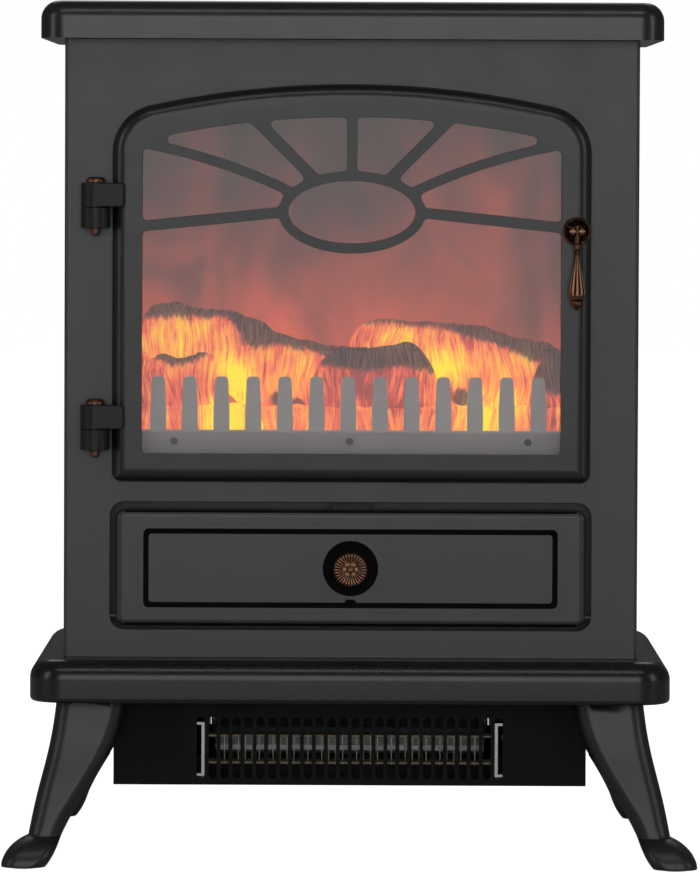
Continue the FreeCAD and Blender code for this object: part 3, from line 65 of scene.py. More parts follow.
# ---------------------------------------------------------------------------------------------
# Studio: a pale floor under plain soft light from a broad front softbox, with a strip overhead and
# a narrow panel at each side, seen through a long lens a little below the height of the top plate.
# ---------------------------------------------------------------------------------------------
front_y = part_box("front_panel")[0].y
camera_distance = 3.380
camera_height = 0.4438
camera_pitch = math.radians(1.696)
camera_roll = math.radians(-0.25)

camera_data = bpy.data.cameras.new("long_lens")
camera_data.sensor_fit = "AUTO"
camera_data.sensor_width = 36.0
camera_data.lens = 221.8
camera_data.shift_y = -0.14
camera_data.clip_start = 0.05
camera = bpy.data.objects.new("camera", camera_data)
camera.location = (-0.0014, front_y - camera_distance, camera_height)
camera.rotation_euler = Euler((math.pi / 2 - camera_pitch, camera_roll, 0.0), "XYZ")
bpy.context.scene.collection.objects.link(camera)
bpy.context.scene.camera = camera
bpy.context.scene.view_settings.view_transform = "Standard"


def add(tree, kind, feeds=None, **settings):
    """Adds a node. Settings are its own properties; feeds are its inputs, as values or sockets."""
    made = tree.nodes.new(kind)
    for name, value in settings.items():
        setattr(made, name, value)
    for socket, value in (feeds or {}).items():
        if isinstance(value, bpy.types.NodeSocket):
            tree.links.new(value, made.inputs[socket])
        else:
            made.inputs[socket].default_value = value
    return made


def surface(name, feeds):
    """A new material whose one shader takes the given values, with its tree for what drives them."""
    made = bpy.data.materials.new(name)
    made.use_nodes = True
    shader = made.node_tree.nodes["Principled BSDF"]
    for socket, value in feeds.items():
        shader.inputs[socket].default_value = value
    return made, made.node_tree, shader


def maths(tree, operation, *values, clamp=False):
    """One arithmetic node over values or sockets."""
    return add(tree, "ShaderNodeMath", dict(enumerate(values)), operation=operation, use_clamp=clamp)


world = bpy.data.worlds.new("studio")
world.use_nodes = True
bpy.context.scene.world = world
air = world.node_tree
sky = air.nodes["Background"]
rays = add(air, "ShaderNodeLightPath")
room = add(air, "ShaderNodeBackground", {"Color": (1.0, 1.0, 1.0, 1.0), "Strength": 0.07})
backdrop = add(air, "ShaderNodeBackground", {"Color": (1.0, 1.0, 1.0, 1.0), "Strength": 1.0})
sky_mix = add(air, "ShaderNodeMixShader", {0: rays.outputs["Is Camera Ray"], 1: room.outputs[0],
                                           2: backdrop.outputs[0]})
air.links.new(sky_mix.outputs[0], air.nodes["World Output"].inputs["Surface"])

sweep_half = 9.0
sweep_mesh = bpy.data.meshes.new("floor")
sweep_mesh.from_pydata(
    [(-sweep_half, -sweep_half, 0), (sweep_half, -sweep_half, 0), (sweep_half, sweep_half, 0),
     (-sweep_half, sweep_half, 0)],
    [], [(0, 1, 2, 3)])
floor = bpy.data.objects.new("floor", sweep_mesh)
bpy.context.scene.collection.objects.link(floor)
floor_paint, floor_tree, floor_shader = surface("pale_floor",
                                                {"Base Color": (0.86, 0.86, 0.86, 1.0), "Roughness": 0.8})
floor_shader.inputs["Specular IOR Level"].default_value = 0.1
floor_rays = add(floor_tree, "ShaderNodeLightPath")
floor_lift = maths(floor_tree, "MULTIPLY", floor_rays.outputs["Is Camera Ray"], 0.97)
floor_tree.links.new(floor_lift.outputs[0], floor_shader.inputs["Emission Color"])
floor_shader.inputs["Emission Strength"].default_value = 1.0
sweep_mesh.materials.append(floor_paint)


def softbox(name, place, aim, width, height, power):
    """One rectangular studio light, turned to face a point."""
    lamp = bpy.data.lights.new(name, "AREA")
    lamp.shape = "RECTANGLE"
    lamp.size = width
    lamp.size_y = height
    lamp.energy = power
    holder = bpy.data.objects.new(name, lamp)
    holder.location = place
    holder.rotation_euler = (Vector(aim) - Vector(place)).to_track_quat("-Z", "Y").to_euler()
    bpy.context.scene.collection.objects.link(holder)
    return holder


middle = (0.0, 0.0, 0.3)
softbox("front_wall", (0.0, -5.2, 1.1), middle, 3.4, 2.8, 38.0)
softbox("overhead_strip", (0.0, -1.6, 2.6), middle, 2.4, 0.3, 5.0)
softbox("left_panel", (-3.0, -1.6, 1.2), middle, 0.7, 2.0, 7.0)
softbox("right_panel", (3.0, -1.6, 1.2), middle, 0.7, 2.0, 7.0)
softbox("rear_fill", (0.0, 3.2, 2.6), middle, 2.4, 0.8, 10.0)


# ---------------------------------------------------------------------------------------------
# Cabinet: folded steel sheet with a pressed top and base, sprayed with fine heat-resistant
# powder coat. The paint is satin on the sheets and glossier on the top and the base.
# ---------------------------------------------------------------------------------------------
def noise_at(tree, where, scale, detail, **more):
    """A noise over the given coordinates. More names its other inputs, such as Roughness."""
    return add(tree, "ShaderNodeTexNoise", {"Vector": where, "Scale": scale, "Detail": detail, **more})


def ranged(tree, value, low, high, start=0.0, stop=1.0, **settings):
    """A node that maps a value from start..stop onto low..high."""
    feeds = {"Value": value, "From Min": start, "From Max": stop, "To Min": low, "To Max": high}
    return add(tree, "ShaderNodeMapRange", feeds, **settings)


def paint_effect():
    """Shader group of sprayed stove paint: fine grain, faint clouding and dust on what faces up."""
    group = bpy.data.node_groups.new("stove_paint", "ShaderNodeTree")
    for name, kind, value in (
            ("Colour", "NodeSocketColor", (0.03, 0.03, 0.03, 1.0)), ("Roughness", "NodeSocketFloat", 0.5),
            ("Grain", "NodeSocketFloat", 900.0), ("Clouding", "NodeSocketFloat", 0.1), ("Dust",
                                                                                        "NodeSocketFloat", 0.02)):
        socket = group.interface.new_socket(name=name, in_out="INPUT", socket_type=kind)
        socket.default_value = value
    for name, kind in (("Colour", "NodeSocketColor"), ("Roughness", "NodeSocketFloat"),
                       ("Height", "NodeSocketFloat")):
        group.interface.new_socket(name=name, in_out="OUTPUT", socket_type=kind)
    inside = group.nodes.new("NodeGroupInput")
    outside = group.nodes.new("NodeGroupOutput")
    place = add(group, "ShaderNodeTexCoord")
    grain = noise_at(group, place.outputs["Object"], inside.outputs["Grain"], 2.0)
    cloud = noise_at(group, place.outputs["Object"], 9.0, 5.0, Roughness=0.6)
    scuff = noise_at(group, place.outputs["Object"], 55.0, 4.0, Roughness=0.7)
    swing = maths(group, "SUBTRACT", cloud.outputs["Fac"], 0.5)
    swing = maths(group, "MULTIPLY_ADD", swing.outputs[0], inside.outputs["Clouding"], 1.0)
    shade = add(group, "ShaderNodeVectorMath", {0: inside.outputs["Colour"]}, operation="SCALE")
    group.links.new(swing.outputs[0], shade.inputs["Scale"])
    facing = add(group, "ShaderNodeNewGeometry")
    up = add(group, "ShaderNodeSeparateXYZ", {0: facing.outputs["Normal"]})
    lying = ranged(group, up.outputs["Z"], 0.0, 1.0, 0.4, 1.0)
    settled = maths(group, "MULTIPLY", lying.outputs[0], scuff.outputs["Fac"])
    settled = maths(group, "MULTIPLY", settled.outputs[0], inside.outputs["Dust"])
    dusty = add(group, "ShaderNodeMix", data_type="RGBA")
    group.links.new(settled.outputs[0], dusty.inputs[0])
    group.links.new(shade.outputs[0], dusty.inputs[6])
    dusty.inputs[7].default_value = (0.5, 0.48, 0.45, 1.0)
    gloss = maths(group, "SUBTRACT", scuff.outputs["Fac"], 0.5)
    gloss = maths(group, "MULTIPLY_ADD", gloss.outputs[0], 0.12, inside.outputs["Roughness"])
    group.links.new(dusty.outputs[2], outside.inputs["Colour"])
    group.links.new(gloss.outputs[0], outside.inputs["Roughness"])
    group.links.new(grain.outputs["Fac"], outside.inputs["Height"])
    return group


stove_paint = paint_effect()


def painted(name, colour, roughness, grain=900.0, clouding=0.25, dust=0.03, specular=0.5, texture=0.08):
    """Sprayed paint in one colour, with its grain, clouding, dust and depth of texture."""
    made, tree, shader = surface(name, {"Metallic": 0.0, "Specular IOR Level": specular})
    paint = add(tree, "ShaderNodeGroup", node_tree=stove_paint)
    for socket, value in (("Colour", (*colour, 1.0)), ("Roughness", roughness), ("Grain", grain),
                          ("Clouding", clouding), ("Dust", dust)):
        paint.inputs[socket].default_value = value
    bump = add(tree, "ShaderNodeBump", {"Strength": texture, "Distance": 0.0002,
                                        "Height": paint.outputs["Height"]})
    tree.links.new(paint.outputs["Colour"], shader.inputs["Base Color"])
    tree.links.new(paint.outputs["Roughness"], shader.inputs["Roughness"])
    tree.links.new(bump.outputs[0], shader.inputs["Normal"])
    return made


def dress(finish, *names):
    """Gives a CAD piece its finish."""
    for name in names:
        mesh = frame["nodes"][name].data
        mesh.materials.clear()
        mesh.materials.append(finish)


def eased(name, finish, edge, angle=35.0, steps=2):
    """Stands in for a formed piece with one whose sharp edges are broken, as paint and tooling leave them."""
    source = frame["nodes"][name]
    mesh = source.data.copy()
    mesh.materials.clear()
    mesh.materials.append(finish)
    form = bmesh.new()
    form.from_mesh(mesh)
    bmesh.ops.remove_doubles(form, verts=form.verts, dist=0.02 * MM)
    bmesh.ops.dissolve_limit(form, angle_limit=math.radians(0.6), verts=form.verts, edges=form.edges)
    form.to_mesh(mesh)
    form.free()
    made = bpy.data.objects.new(name + "_finished", mesh)
    bpy.context.scene.collection.objects.link(made)
    for polygon in mesh.polygons:
        polygon.use_smooth = True
    mesh.set_sharp_from_angle(angle=math.radians(angle))
    if edge > 0:
        bevel = made.modifiers.new("broken_edges", "BEVEL")
        bevel.width = edge
        bevel.segments = steps
        bevel.limit_method = "ANGLE"
        bevel.angle_limit = math.radians(angle)
        bevel.use_clamp_overlap = True
        bevel.harden_normals = True
    flats = made.modifiers.new("true_flats", "WEIGHTED_NORMAL")
    flats.keep_sharp = True
    flats.weight = 80
    finish_piece(made, source["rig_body"], name)
    return made


def finish_piece(made, body, *replaced):
    """Hangs a finished piece on its body and puts it in place of the CAD pieces it stands for."""
    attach(made, body)
    if replaced:
        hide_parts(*replaced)


cabinet_paint = painted("cabinet_paint", (0.041, 0.041, 0.043), 0.4, clouding=0.35, texture=0.12,
                        specular=1.0)
top_paint = painted("top_paint", (0.010, 0.010, 0.010), 0.30, clouding=0.3, texture=0.06, specular=1.0)
base_paint = painted("base_paint", (0.005, 0.005, 0.005), 0.27, clouding=0.3, texture=0.05, specular=0.8)
eased("front_panel", cabinet_paint, 0.3 * MM)
for sheet in ("left_side_panel", "right_side_panel", "rear_cover"):
    eased(sheet, cabinet_paint, 0.0)
eased("top_plate", top_paint, 0.0)
eased("base_plate", base_paint, 0.0)


# ---------------------------------------------------------------------------------------------
# Legs: four iron castings with an angle section and a shoe-shaped toe, painted satin black over
# the fine skin of the mould, on felt pads and each held up into the base by one bolt.
# ---------------------------------------------------------------------------------------------
cast_paint = painted("cast_paint", (0.016, 0.016, 0.017), 0.38, grain=420.0, clouding=0.4, texture=0.3,
                     specular=0.9)
for leg in ("leg_front_left", "leg_front_right", "leg_rear_left", "leg_rear_right"):
    eased(leg, cast_paint, 0.0)

def mottled(name, feeds, socket, scale, detail, low, high):
    """A finish of which one input wavers between two values, after a noise over the piece."""
    made, tree, shader = surface(name, feeds)
    place = add(tree, "ShaderNodeTexCoord")
    waver = noise_at(tree, place.outputs["Object"], scale, detail)
    driven = ranged(tree, waver.outputs["Fac"], low, high)
    tree.links.new(driven.outputs[0], shader.inputs[socket])
    return made


felt = mottled("felt", {"Roughness": 0.95}, "Base Color", 1400.0, 4.0, 0.01, 0.05)
dress(felt, "foot_pads")

zinc = mottled("zinc_plate", {"Metallic": 1.0, "Base Color": (0.55, 0.56, 0.57, 1.0)},
               "Roughness", 260.0, 4.0, 0.25, 0.5)
dress(zinc, "leg_bolts", "rear_cover_screws", "glass_clips", "glass_clip_screws", "door_strike")
dress(cabinet_paint, "flap_pins", "flap_hinge_brackets")


# ---------------------------------------------------------------------------------------------
# Fan heater: a black folded box hung in the base. Behind its upright outlet slots a bright steel
# bracket at each end holds two mica boards, laced up and down with resistance wire.
# ---------------------------------------------------------------------------------------------
grille_paint = painted("grille_paint", (0.004, 0.004, 0.0045), 0.5, clouding=0.2, dust=0.0, specular=0.2)
eased("heater_housing", grille_paint, 0.0)

steel, steel_tree, steel_shader = surface("bright_steel",
                                          {"Metallic": 1.0, "Base Color": (0.62, 0.62, 0.63, 1.0)})
steel_place = add(steel_tree, "ShaderNodeTexCoord")
steel_stretch = add(steel_tree, "ShaderNodeMapping",
                    {"Vector": steel_place.outputs["Object"], "Scale": (20.0, 20.0, 900.0)})
steel_line = noise_at(steel_tree, steel_stretch.outputs[0], 1.0, 3.0)
steel_gloss = ranged(steel_tree, steel_line.outputs["Fac"], 0.18, 0.42)
steel_tree.links.new(steel_gloss.outputs[0], steel_shader.inputs["Roughness"])
dress(steel, "element_brackets", "fan_scroll", "flame_reflector", "flame_spindle")

mica, mica_tree, mica_shader = surface("mica_board", {"Roughness": 0.45, "Specular IOR Level": 0.6})
mica_place = add(mica_tree, "ShaderNodeTexCoord")
mica_flake = add(mica_tree, "ShaderNodeTexVoronoi", {"Vector": mica_place.outputs["Object"], "Scale": 480.0})
mica_tone = add(mica_tree, "ShaderNodeValToRGB", {"Fac": mica_flake.outputs["Distance"]})
mica_tone.color_ramp.elements[0].color = (0.30, 0.21, 0.13, 1.0)
mica_tone.color_ramp.elements[1].color = (0.55, 0.45, 0.32, 1.0)
mica_tree.links.new(mica_tone.outputs[0], mica_shader.inputs["Base Color"])
dress(mica, "mica_boards")

wire, wire_tree, wire_shader = surface("heating_wire", {"Metallic": 1.0})
wire_place = add(wire_tree, "ShaderNodeTexCoord")
wire_oxide = noise_at(wire_tree, wire_place.outputs["Object"], 160.0, 3.0)
wire_tone = add(wire_tree, "ShaderNodeValToRGB", {"Fac": wire_oxide.outputs["Fac"]})
wire_tone.color_ramp.elements[0].color = (0.75, 0.62, 0.48, 1.0)
wire_tone.color_ramp.elements[1].color = (0.95, 0.88, 0.78, 1.0)
wire_tree.links.new(wire_tone.outputs[0], wire_shader.inputs["Base Color"])
wire_shader.inputs["Roughness"].default_value = 0.3


def grown(name, build, inputs, finish):
    """Runs a geometry node tree once with the given inputs and returns the result as a plain mesh object."""
    tree = bpy.data.node_groups.new(name, "GeometryNodeTree")
    tree.interface.new_socket(name="Geometry", in_out="OUTPUT", socket_type="NodeSocketGeometry")
    sockets = {}
    for label, (kind, value) in inputs.items():
        sockets[label] = tree.interface.new_socket(name=label, in_out="INPUT", socket_type=kind)
    inside = tree.nodes.new("NodeGroupInput")
    outside = tree.nodes.new("NodeGroupOutput")
    shape = build(tree, inside)
    real = add(tree, "GeometryNodeRealizeInstances", {"Geometry": shape})
    painted_shape = add(tree, "GeometryNodeSetMaterial", {"Geometry": real.outputs[0]})
    painted_shape.inputs["Material"].default_value = finish
    tree.links.new(painted_shape.outputs[0], outside.inputs["Geometry"])
    holder = bpy.data.objects.new(name, bpy.data.meshes.new(name + "_seed"))
    bpy.context.scene.collection.objects.link(holder)
    modifier = holder.modifiers.new(name, "NODES")
    modifier.node_group = tree
    for label, (kind, value) in inputs.items():
        modifier[sockets[label].identifier] = value
    bpy.context.view_layer.update()
    mesh = bpy.data.meshes.new_from_object(holder.evaluated_get(bpy.context.evaluated_depsgraph_get()))
    bpy.data.objects.remove(holder)
    made = bpy.data.objects.new(name, mesh)
    bpy.context.scene.collection.objects.link(made)
    return made


def lacing(tree, inside):
    """Loops of wire set side by side round both boards, with a small turn at the lower board's front edge."""
    profile = add(tree, "GeometryNodeCurvePrimitiveCircle",
                  {"Resolution": 8, "Radius": inside.outputs["Wire radius"]})
    loop = add(tree, "GeometryNodeCurvePrimitiveQuadrilateral",
               {"Width": inside.outputs["Loop depth"], "Height": inside.outputs["Loop height"]})
    soft = add(tree, "GeometryNodeFilletCurve",
               {"Curve": loop.outputs[0], "Radius": inside.outputs["Bend radius"]})
    if hasattr(soft, "mode"):
        soft.mode = "POLY"
    soft.inputs["Count"].default_value = 5
    swept = add(tree, "GeometryNodeCurveToMesh",
                {"Curve": soft.outputs[0], "Profile Curve": profile.outputs[0]})
    turn = add(tree, "GeometryNodeCurvePrimitiveCircle",
               {"Resolution": 12, "Radius": inside.outputs["Turn radius"]})
    turn_mesh = add(tree, "GeometryNodeCurveToMesh",
                    {"Curve": turn.outputs[0], "Profile Curve": profile.outputs[0]})
    offset = add(tree, "ShaderNodeCombineXYZ", {"X": inside.outputs["Turn forward"],
                                                "Y": inside.outputs["Turn drop"]})
    placed_turn = add(tree, "GeometryNodeTransform",
                      {"Geometry": turn_mesh.outputs[0], "Translation": offset.outputs[0]})
    both = tree.nodes.new("GeometryNodeJoinGeometry")
    tree.links.new(swept.outputs[0], both.inputs[0])
    tree.links.new(placed_turn.outputs[0], both.inputs[0])
    smooth = add(tree, "GeometryNodeSetShadeSmooth", {"Geometry": both.outputs[0]})
    step = add(tree, "ShaderNodeCombineXYZ", {"X": inside.outputs["Pitch"]})
    row = add(tree, "GeometryNodeMeshLine", {"Count": inside.outputs["Count"],
                                             "Start Location": inside.outputs["First loop"], "Offset": step.outputs[0]})
    placed = add(tree, "GeometryNodeInstanceOnPoints",
                 {"Points": row.outputs[0], "Instance": smooth.outputs[0],
                                                        "Rotation": (math.pi / 2, 0.0, math.pi / 2)})
    return placed.outputs[0]


wire_low, wire_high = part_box("element_wires")
board_low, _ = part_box("mica_boards")
wire_radius = 0.4 * MM
loop_count = 39
board_thickness = 1.2 * MM
loop_middle = (wire_low + wire_high) / 2
wires = grown("element_lacing", lacing, {
    "Count": ("NodeSocketInt", loop_count),
    "Pitch": ("NodeSocketFloat", (wire_high.x - wire_low.x - 2 * wire_radius) / (loop_count - 1)),
    "First loop": ("NodeSocketVector", (wire_low.x + wire_radius, loop_middle.y, loop_middle.z)),
    "Wire radius": ("NodeSocketFloat", wire_radius),
    "Loop depth": ("NodeSocketFloat", wire_high.y - wire_low.y - 2 * wire_radius),
    "Loop height": ("NodeSocketFloat", wire_high.z - wire_low.z - 2 * wire_radius),
    "Bend radius": ("NodeSocketFloat", 1.0 * MM),
    "Turn radius": ("NodeSocketFloat", 1.1 * MM),
    "Turn forward": ("NodeSocketFloat", board_low.y - loop_middle.y),
    "Turn drop": ("NodeSocketFloat", board_low.z + board_thickness / 2 - loop_middle.z),
}, wire)
finish_piece(wires, "cabinet", "element_wires")
dress(zinc, "fan_impeller", "fan_motor", "spindle_motor", "spindle_bearing")

black_plastic, plastic_tree, plastic_shader = surface("moulded_black",
                                                      {"Base Color": (0.012, 0.012, 0.012, 1.0)})
plastic_place = add(plastic_tree, "ShaderNodeTexCoord")
plastic_spark = noise_at(plastic_tree, plastic_place.outputs["Object"], 1600.0, 2.0)
plastic_gloss = ranged(plastic_tree, plastic_spark.outputs["Fac"], 0.35, 0.6)
plastic_bump = add(plastic_tree, "ShaderNodeBump",
                   {"Strength": 0.15, "Distance": 0.0001, "Height": plastic_spark.outputs["Fac"]})
plastic_tree.links.new(plastic_gloss.outputs[0], plastic_shader.inputs["Roughness"])
plastic_tree.links.new(plastic_bump.outputs[0], plastic_shader.inputs["Normal"])
dress(black_plastic, "thermal_cutout", "cable_gland", "door_magnet", "flap_catch", "switch_housings",
      "thermostat_body")


# ---------------------------------------------------------------------------------------------
# Light box and lining: black sheet round the fuel bed, and behind it a translucent screen on which
# light thrown by the turning spindle moves as flames.
# ---------------------------------------------------------------------------------------------
lining_paint = painted("lining_paint", (0.02, 0.014, 0.013), 0.7, clouding=0.3, dust=0.0, specular=0.2)
for sheet in ("firebox_liner", "flame_box", "fuel_tray"):
    dress(lining_paint, sheet)

screen_low, screen_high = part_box("flame_screen")
screen_film, film_tree, film_shader = surface("flame_film",
                                              {"Base Color": (0.05, 0.03, 0.03, 1.0), "Roughness": 0.5})
film_place = add(film_tree, "ShaderNodeTexCoord")
film_axes = add(film_tree, "ShaderNodeSeparateXYZ", {0: film_place.outputs["Object"]})
film_rise = ranged(film_tree, film_axes.outputs["Z"], 0.0, 1.0, screen_low.z + 0.04, screen_high.z)
film_stretch = add(film_tree, "ShaderNodeMapping",
                   {"Vector": film_place.outputs["Object"], "Scale": (16.0, 1.0, 6.0)})
film_wisp = noise_at(film_tree, film_stretch.outputs[0], 1.0, 4.0, Distortion=1.2)
film_lift = maths(film_tree, "MULTIPLY_ADD", film_wisp.outputs["Fac"], 1.5, -0.75)
film_height = maths(film_tree, "SUBTRACT", film_rise.outputs[0], film_lift.outputs[0])
film_glow = add(film_tree, "ShaderNodeValToRGB", {"Fac": film_height.outputs[0]})
ramp = film_glow.color_ramp
ramp.elements[0].color = (0.62, 0.075, 0.035, 1.0)
ramp.elements[1].color = (0.010, 0.003, 0.003, 1.0)
for position, colour in ((0.22, (0.38, 0.048, 0.026, 1.0)), (0.48, (0.15, 0.024, 0.016, 1.0)),
                         (0.75, (0.045, 0.011, 0.009, 1.0))):
    ramp.elements.new(position).color = colour
film_tree.links.new(film_glow.outputs[0], film_shader.inputs["Emission Color"])
film_shader.inputs["Emission Strength"].default_value = 1.0
dress(screen_film, "flame_screen")

board, board_tree, board_shader = surface("board_lacquer", {"Roughness": 0.3})
board_place = add(board_tree, "ShaderNodeTexCoord")
board_track = add(board_tree, "ShaderNodeTexBrick",
                  {"Vector": board_place.outputs["Object"], "Color1": (0.02, 0.10, 0.04, 1.0),
                   "Color2": (0.02, 0.13, 0.05, 1.0), "Mortar": (0.05, 0.22, 0.09, 1.0), "Scale": 70.0})
board_tree.links.new(board_track.outputs[0], board_shader.inputs["Base Color"])
dress(board, "led_board")
lamp_glow = {"Base Color": (1.0, 0.55, 0.2, 1.0), "Emission Color": (1.0, 0.45, 0.1, 1.0),
             "Emission Strength": 3.0}
amber = mottled("lamp_amber", lamp_glow, "Roughness", 400.0, 2.0, 0.12, 0.3)
dress(amber, "led_lamps")


# ---------------------------------------------------------------------------------------------
# Fuel bed: a moulded resin shell of split logs over embers, lit from below so that its thin places
# glow yellow and red. Grey ash paint lies along the tops, and fibres hang down the face of each log.
# ---------------------------------------------------------------------------------------------
bed_low, bed_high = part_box("fuel_bed")


def between(keys, x):
    """The value at x of a smooth curve through (x, value) keys."""
    last = len(keys) - 1
    i = next((n for n in range(last) if x <= keys[n + 1][0]), last - 1)
    (x0, v0), (x1, v1) = keys[i], keys[i + 1]
    t = min(1.0, max(0.0, (x - x0) / (x1 - x0)))

    def slope(n):
        a, b = keys[max(0, n - 1)], keys[min(last, n + 1)]
        return (b[1] - a[1]) / (b[0] - a[0]) * (x1 - x0)
    return ((2 * t ** 3 - 3 * t ** 2 + 1) * v0 + (t ** 3 - 2 * t ** 2 + t) * slope(i)
            + (3 * t ** 2 - 2 * t ** 3) * v1 + (t ** 3 - t ** 2) * slope(i + 1))


def spot(x, z, centre_x, centre_z, reach):
    """1 at the middle of a round patch, falling to 0 at its edge."""
    near = max(0.0, 1 - math.hypot(x - centre_x, z - centre_z) / reach)
    return near * near * (3 - 2 * near)


def mark(mesh, name, values):
    """Stores one number per corner point for the finish to read."""
    mesh.attributes.new(name=name, type="FLOAT", domain="POINT").data.foreach_set("value", values)


# Hottest places of the bed: millimetres from its middle and above its floor, reach and strength
hot_spots = [(-76, 56, 22, 0.75), (-66, 44, 20, 0.45), (-108, 74, 34, 0.30), (-36, 54, 32, 0.28),
             (60, 60, 24, 0.75),
             (88, 54, 26, 0.25), (28, 74, 26, 0.32), (112, 52, 26, 0.26), (-82, 24, 24, 0.80), (82, 26, 22,
                                                                                                0.75),
             (-64, 24, 20, 0.35), (102, 34, 16, 0.45), (48, 38, 10, 0.50)]
# Burnt places: the same, without a strength
burnt_spots = [(-46, 37, 11), (-34, 33, 10), (70, 38, 12), (-62, 78, 17)]


def heat_at(x, z):
    return sum(strength * spot(x, z, sx, sz, reach) for sx, sz, reach, strength in hot_spots)


def log_mesh(name, route, thickness, warmth, seed, steps=230, around=72):
    """A log along +X. Its route gives x, depth, top, bottom and ash in mm from the bed's front and floor."""
    depth, top, bottom, ash = [[(key[0], key[i]) for key in route] for i in range(1, 5)]
    start, end = route[0][0], route[-1][0]
    points, heats, ashes = [], [], []
    for i in range(steps + 1):
        x = start + (end - start) * i / steps
        high, low = between(top, x), between(bottom, x)
        half = (high - low) / 2
        cap = min(half * 0.7, (end - start) * 0.45)
        to_end = min(1.0, min(x - start, end - x) / cap)
        close = max(0.02, math.sqrt(1 - (1 - to_end) ** 2))
        for j in range(around):
            turn = 2 * math.pi * j / around
            lump = noise.noise(Vector((x * 0.09 + seed, turn * 1.2, seed))) * 1.6
            fibre = noise.noise(Vector((x * 0.6 + math.sin(turn * 2) * 0.8, turn * 0.4, seed))) * 0.7
            swell = 1 + (lump + fibre) / half * close
            z = (high + low) / 2 + half * math.sin(turn) * close * swell
            y = between(depth, x) - thickness * math.cos(turn) * close * swell
            points.append((x * MM, bed_low.y + y * MM, bed_low.z + z * MM))
            rim = max(0.0, 1 - abs(z - low - 2.5) / 2.0) * 0.35
            heats.append(warmth + heat_at(x, z) + rim)
            banked = (between(ash, x) - (high - z)) / 10
            charred = max(spot(x, z, sx, sz, reach) for sx, sz, reach in burnt_spots) * 1.1 - 0.55
            ashes.append(max(banked, charred if y < between(depth, x) else -1))
    faces = [(i * around + j, (i + 1) * around + j, (i + 1) * around + (j + 1) % around,
              i * around + (j + 1) % around)
             for i in range(steps) for j in range(around)]
    faces.append(tuple(range(around)))
    faces.append(tuple(steps * around + j for j in reversed(range(around))))
    mesh = bpy.data.meshes.new(name)
    mesh.from_pydata(points, [], faces)
    form = bmesh.new()
    form.from_mesh(mesh)
    bmesh.ops.recalc_face_normals(form, faces=form.faces)
    form.to_mesh(mesh)
    form.free()
    mark(mesh, "warmth", heats)
    mark(mesh, "ashes", ashes)
    for polygon in mesh.polygons:
        polygon.use_smooth = True
    return mesh


ember, ember_tree, ember_shader = surface("glowing_resin",
                                          {"Roughness": 0.8, "Specular IOR Level": 0.15,
                                           "Emission Strength": 1.0})
place = add(ember_tree, "ShaderNodeTexCoord")
lean = noise_at(ember_tree, place.outputs["Object"], 24.0, 1.0)
shift = add(ember_tree, "ShaderNodeVectorMath", {0: lean.outputs["Color"], 1: (0.020, 0.0, 0.0)},
            operation="MULTIPLY")
bent = add(ember_tree, "ShaderNodeVectorMath", {0: place.outputs["Object"], 1: shift.outputs[0]},
           operation="ADD")
hang = add(ember_tree, "ShaderNodeMapping", {"Vector": bent.outputs[0], "Scale": (400.0, 40.0, 40.0)})
hair_hang = add(ember_tree, "ShaderNodeMapping", {"Vector": bent.outputs[0], "Scale": (950.0, 60.0, 60.0)})
hair = noise_at(ember_tree, hair_hang.outputs[0], 1.0, 2.0)
fibre = noise_at(ember_tree, hang.outputs[0], 1.0, 5.0, Roughness=0.7)
blotch = noise_at(ember_tree, place.outputs["Object"], 60.0, 4.0, Roughness=0.6)
speck = noise_at(ember_tree, place.outputs["Object"], 700.0, 3.0)
heat = add(ember_tree, "ShaderNodeAttribute", attribute_name="warmth")
ash = add(ember_tree, "ShaderNodeAttribute", attribute_name="ashes")
streak = maths(ember_tree, "MULTIPLY_ADD", fibre.outputs["Fac"], 1.7, -0.90)
thread = maths(ember_tree, "MULTIPLY_ADD", hair.outputs["Fac"], 1.3, -0.65)
streak = maths(ember_tree, "ADD", streak.outputs[0], thread.outputs[0])
cloud = maths(ember_tree, "MULTIPLY_ADD", blotch.outputs["Fac"], 0.8, -0.40)
grit = maths(ember_tree, "MULTIPLY_ADD", speck.outputs["Fac"], 0.25, -0.125)
warm = maths(ember_tree, "ADD", heat.outputs["Fac"], streak.outputs[0])
warm = maths(ember_tree, "ADD", warm.outputs[0], cloud.outputs[0])
warm = maths(ember_tree, "ADD", warm.outputs[0], grit.outputs[0])
glow = add(ember_tree, "ShaderNodeValToRGB", {"Fac": warm.outputs[0]})
glow.color_ramp.elements[0].color = (0.24, 0.020, 0.016, 1.0)
glow.color_ramp.elements[1].color = (1.0, 0.82, 0.0, 1.0)
for position, colour in ((0.16, (0.60, 0.055, 0.035, 1.0)), (0.36, (0.90, 0.15, 0.055, 1.0)),
                         (0.58, (1.0, 0.33, 0.05, 1.0)), (0.82, (1.0, 0.56, 0.02, 1.0))):
    glow.color_ramp.elements.new(position).color = colour
ragged = maths(ember_tree, "MULTIPLY_ADD", hair.outputs["Fac"], 1.3, -0.65)
ragged = maths(ember_tree, "ADD", ash.outputs["Fac"], ragged.outputs[0])
cover = ranged(ember_tree, ragged.outputs[0], 0.0, 1.0, -0.16, 0.22, interpolation_type="SMOOTHSTEP")
bare = ranged(ember_tree, cover.outputs[0], 1.0, 0.10)
lit = add(ember_tree, "ShaderNodeVectorMath", {0: glow.outputs[0]}, operation="SCALE")
ember_tree.links.new(bare.outputs[0], lit.inputs["Scale"])
ash_tone = ranged(ember_tree, hair.outputs["Fac"], 0.01, 0.16, 0.35, 0.65)
skin = add(ember_tree, "ShaderNodeMix", data_type="RGBA")
ember_tree.links.new(cover.outputs[0], skin.inputs[0])
skin.inputs[6].default_value = (0.30, 0.10, 0.05, 1.0)
ember_tree.links.new(ash_tone.outputs[0], skin.inputs[7])
grain = maths(ember_tree, "ADD", fibre.outputs["Fac"], speck.outputs["Fac"])
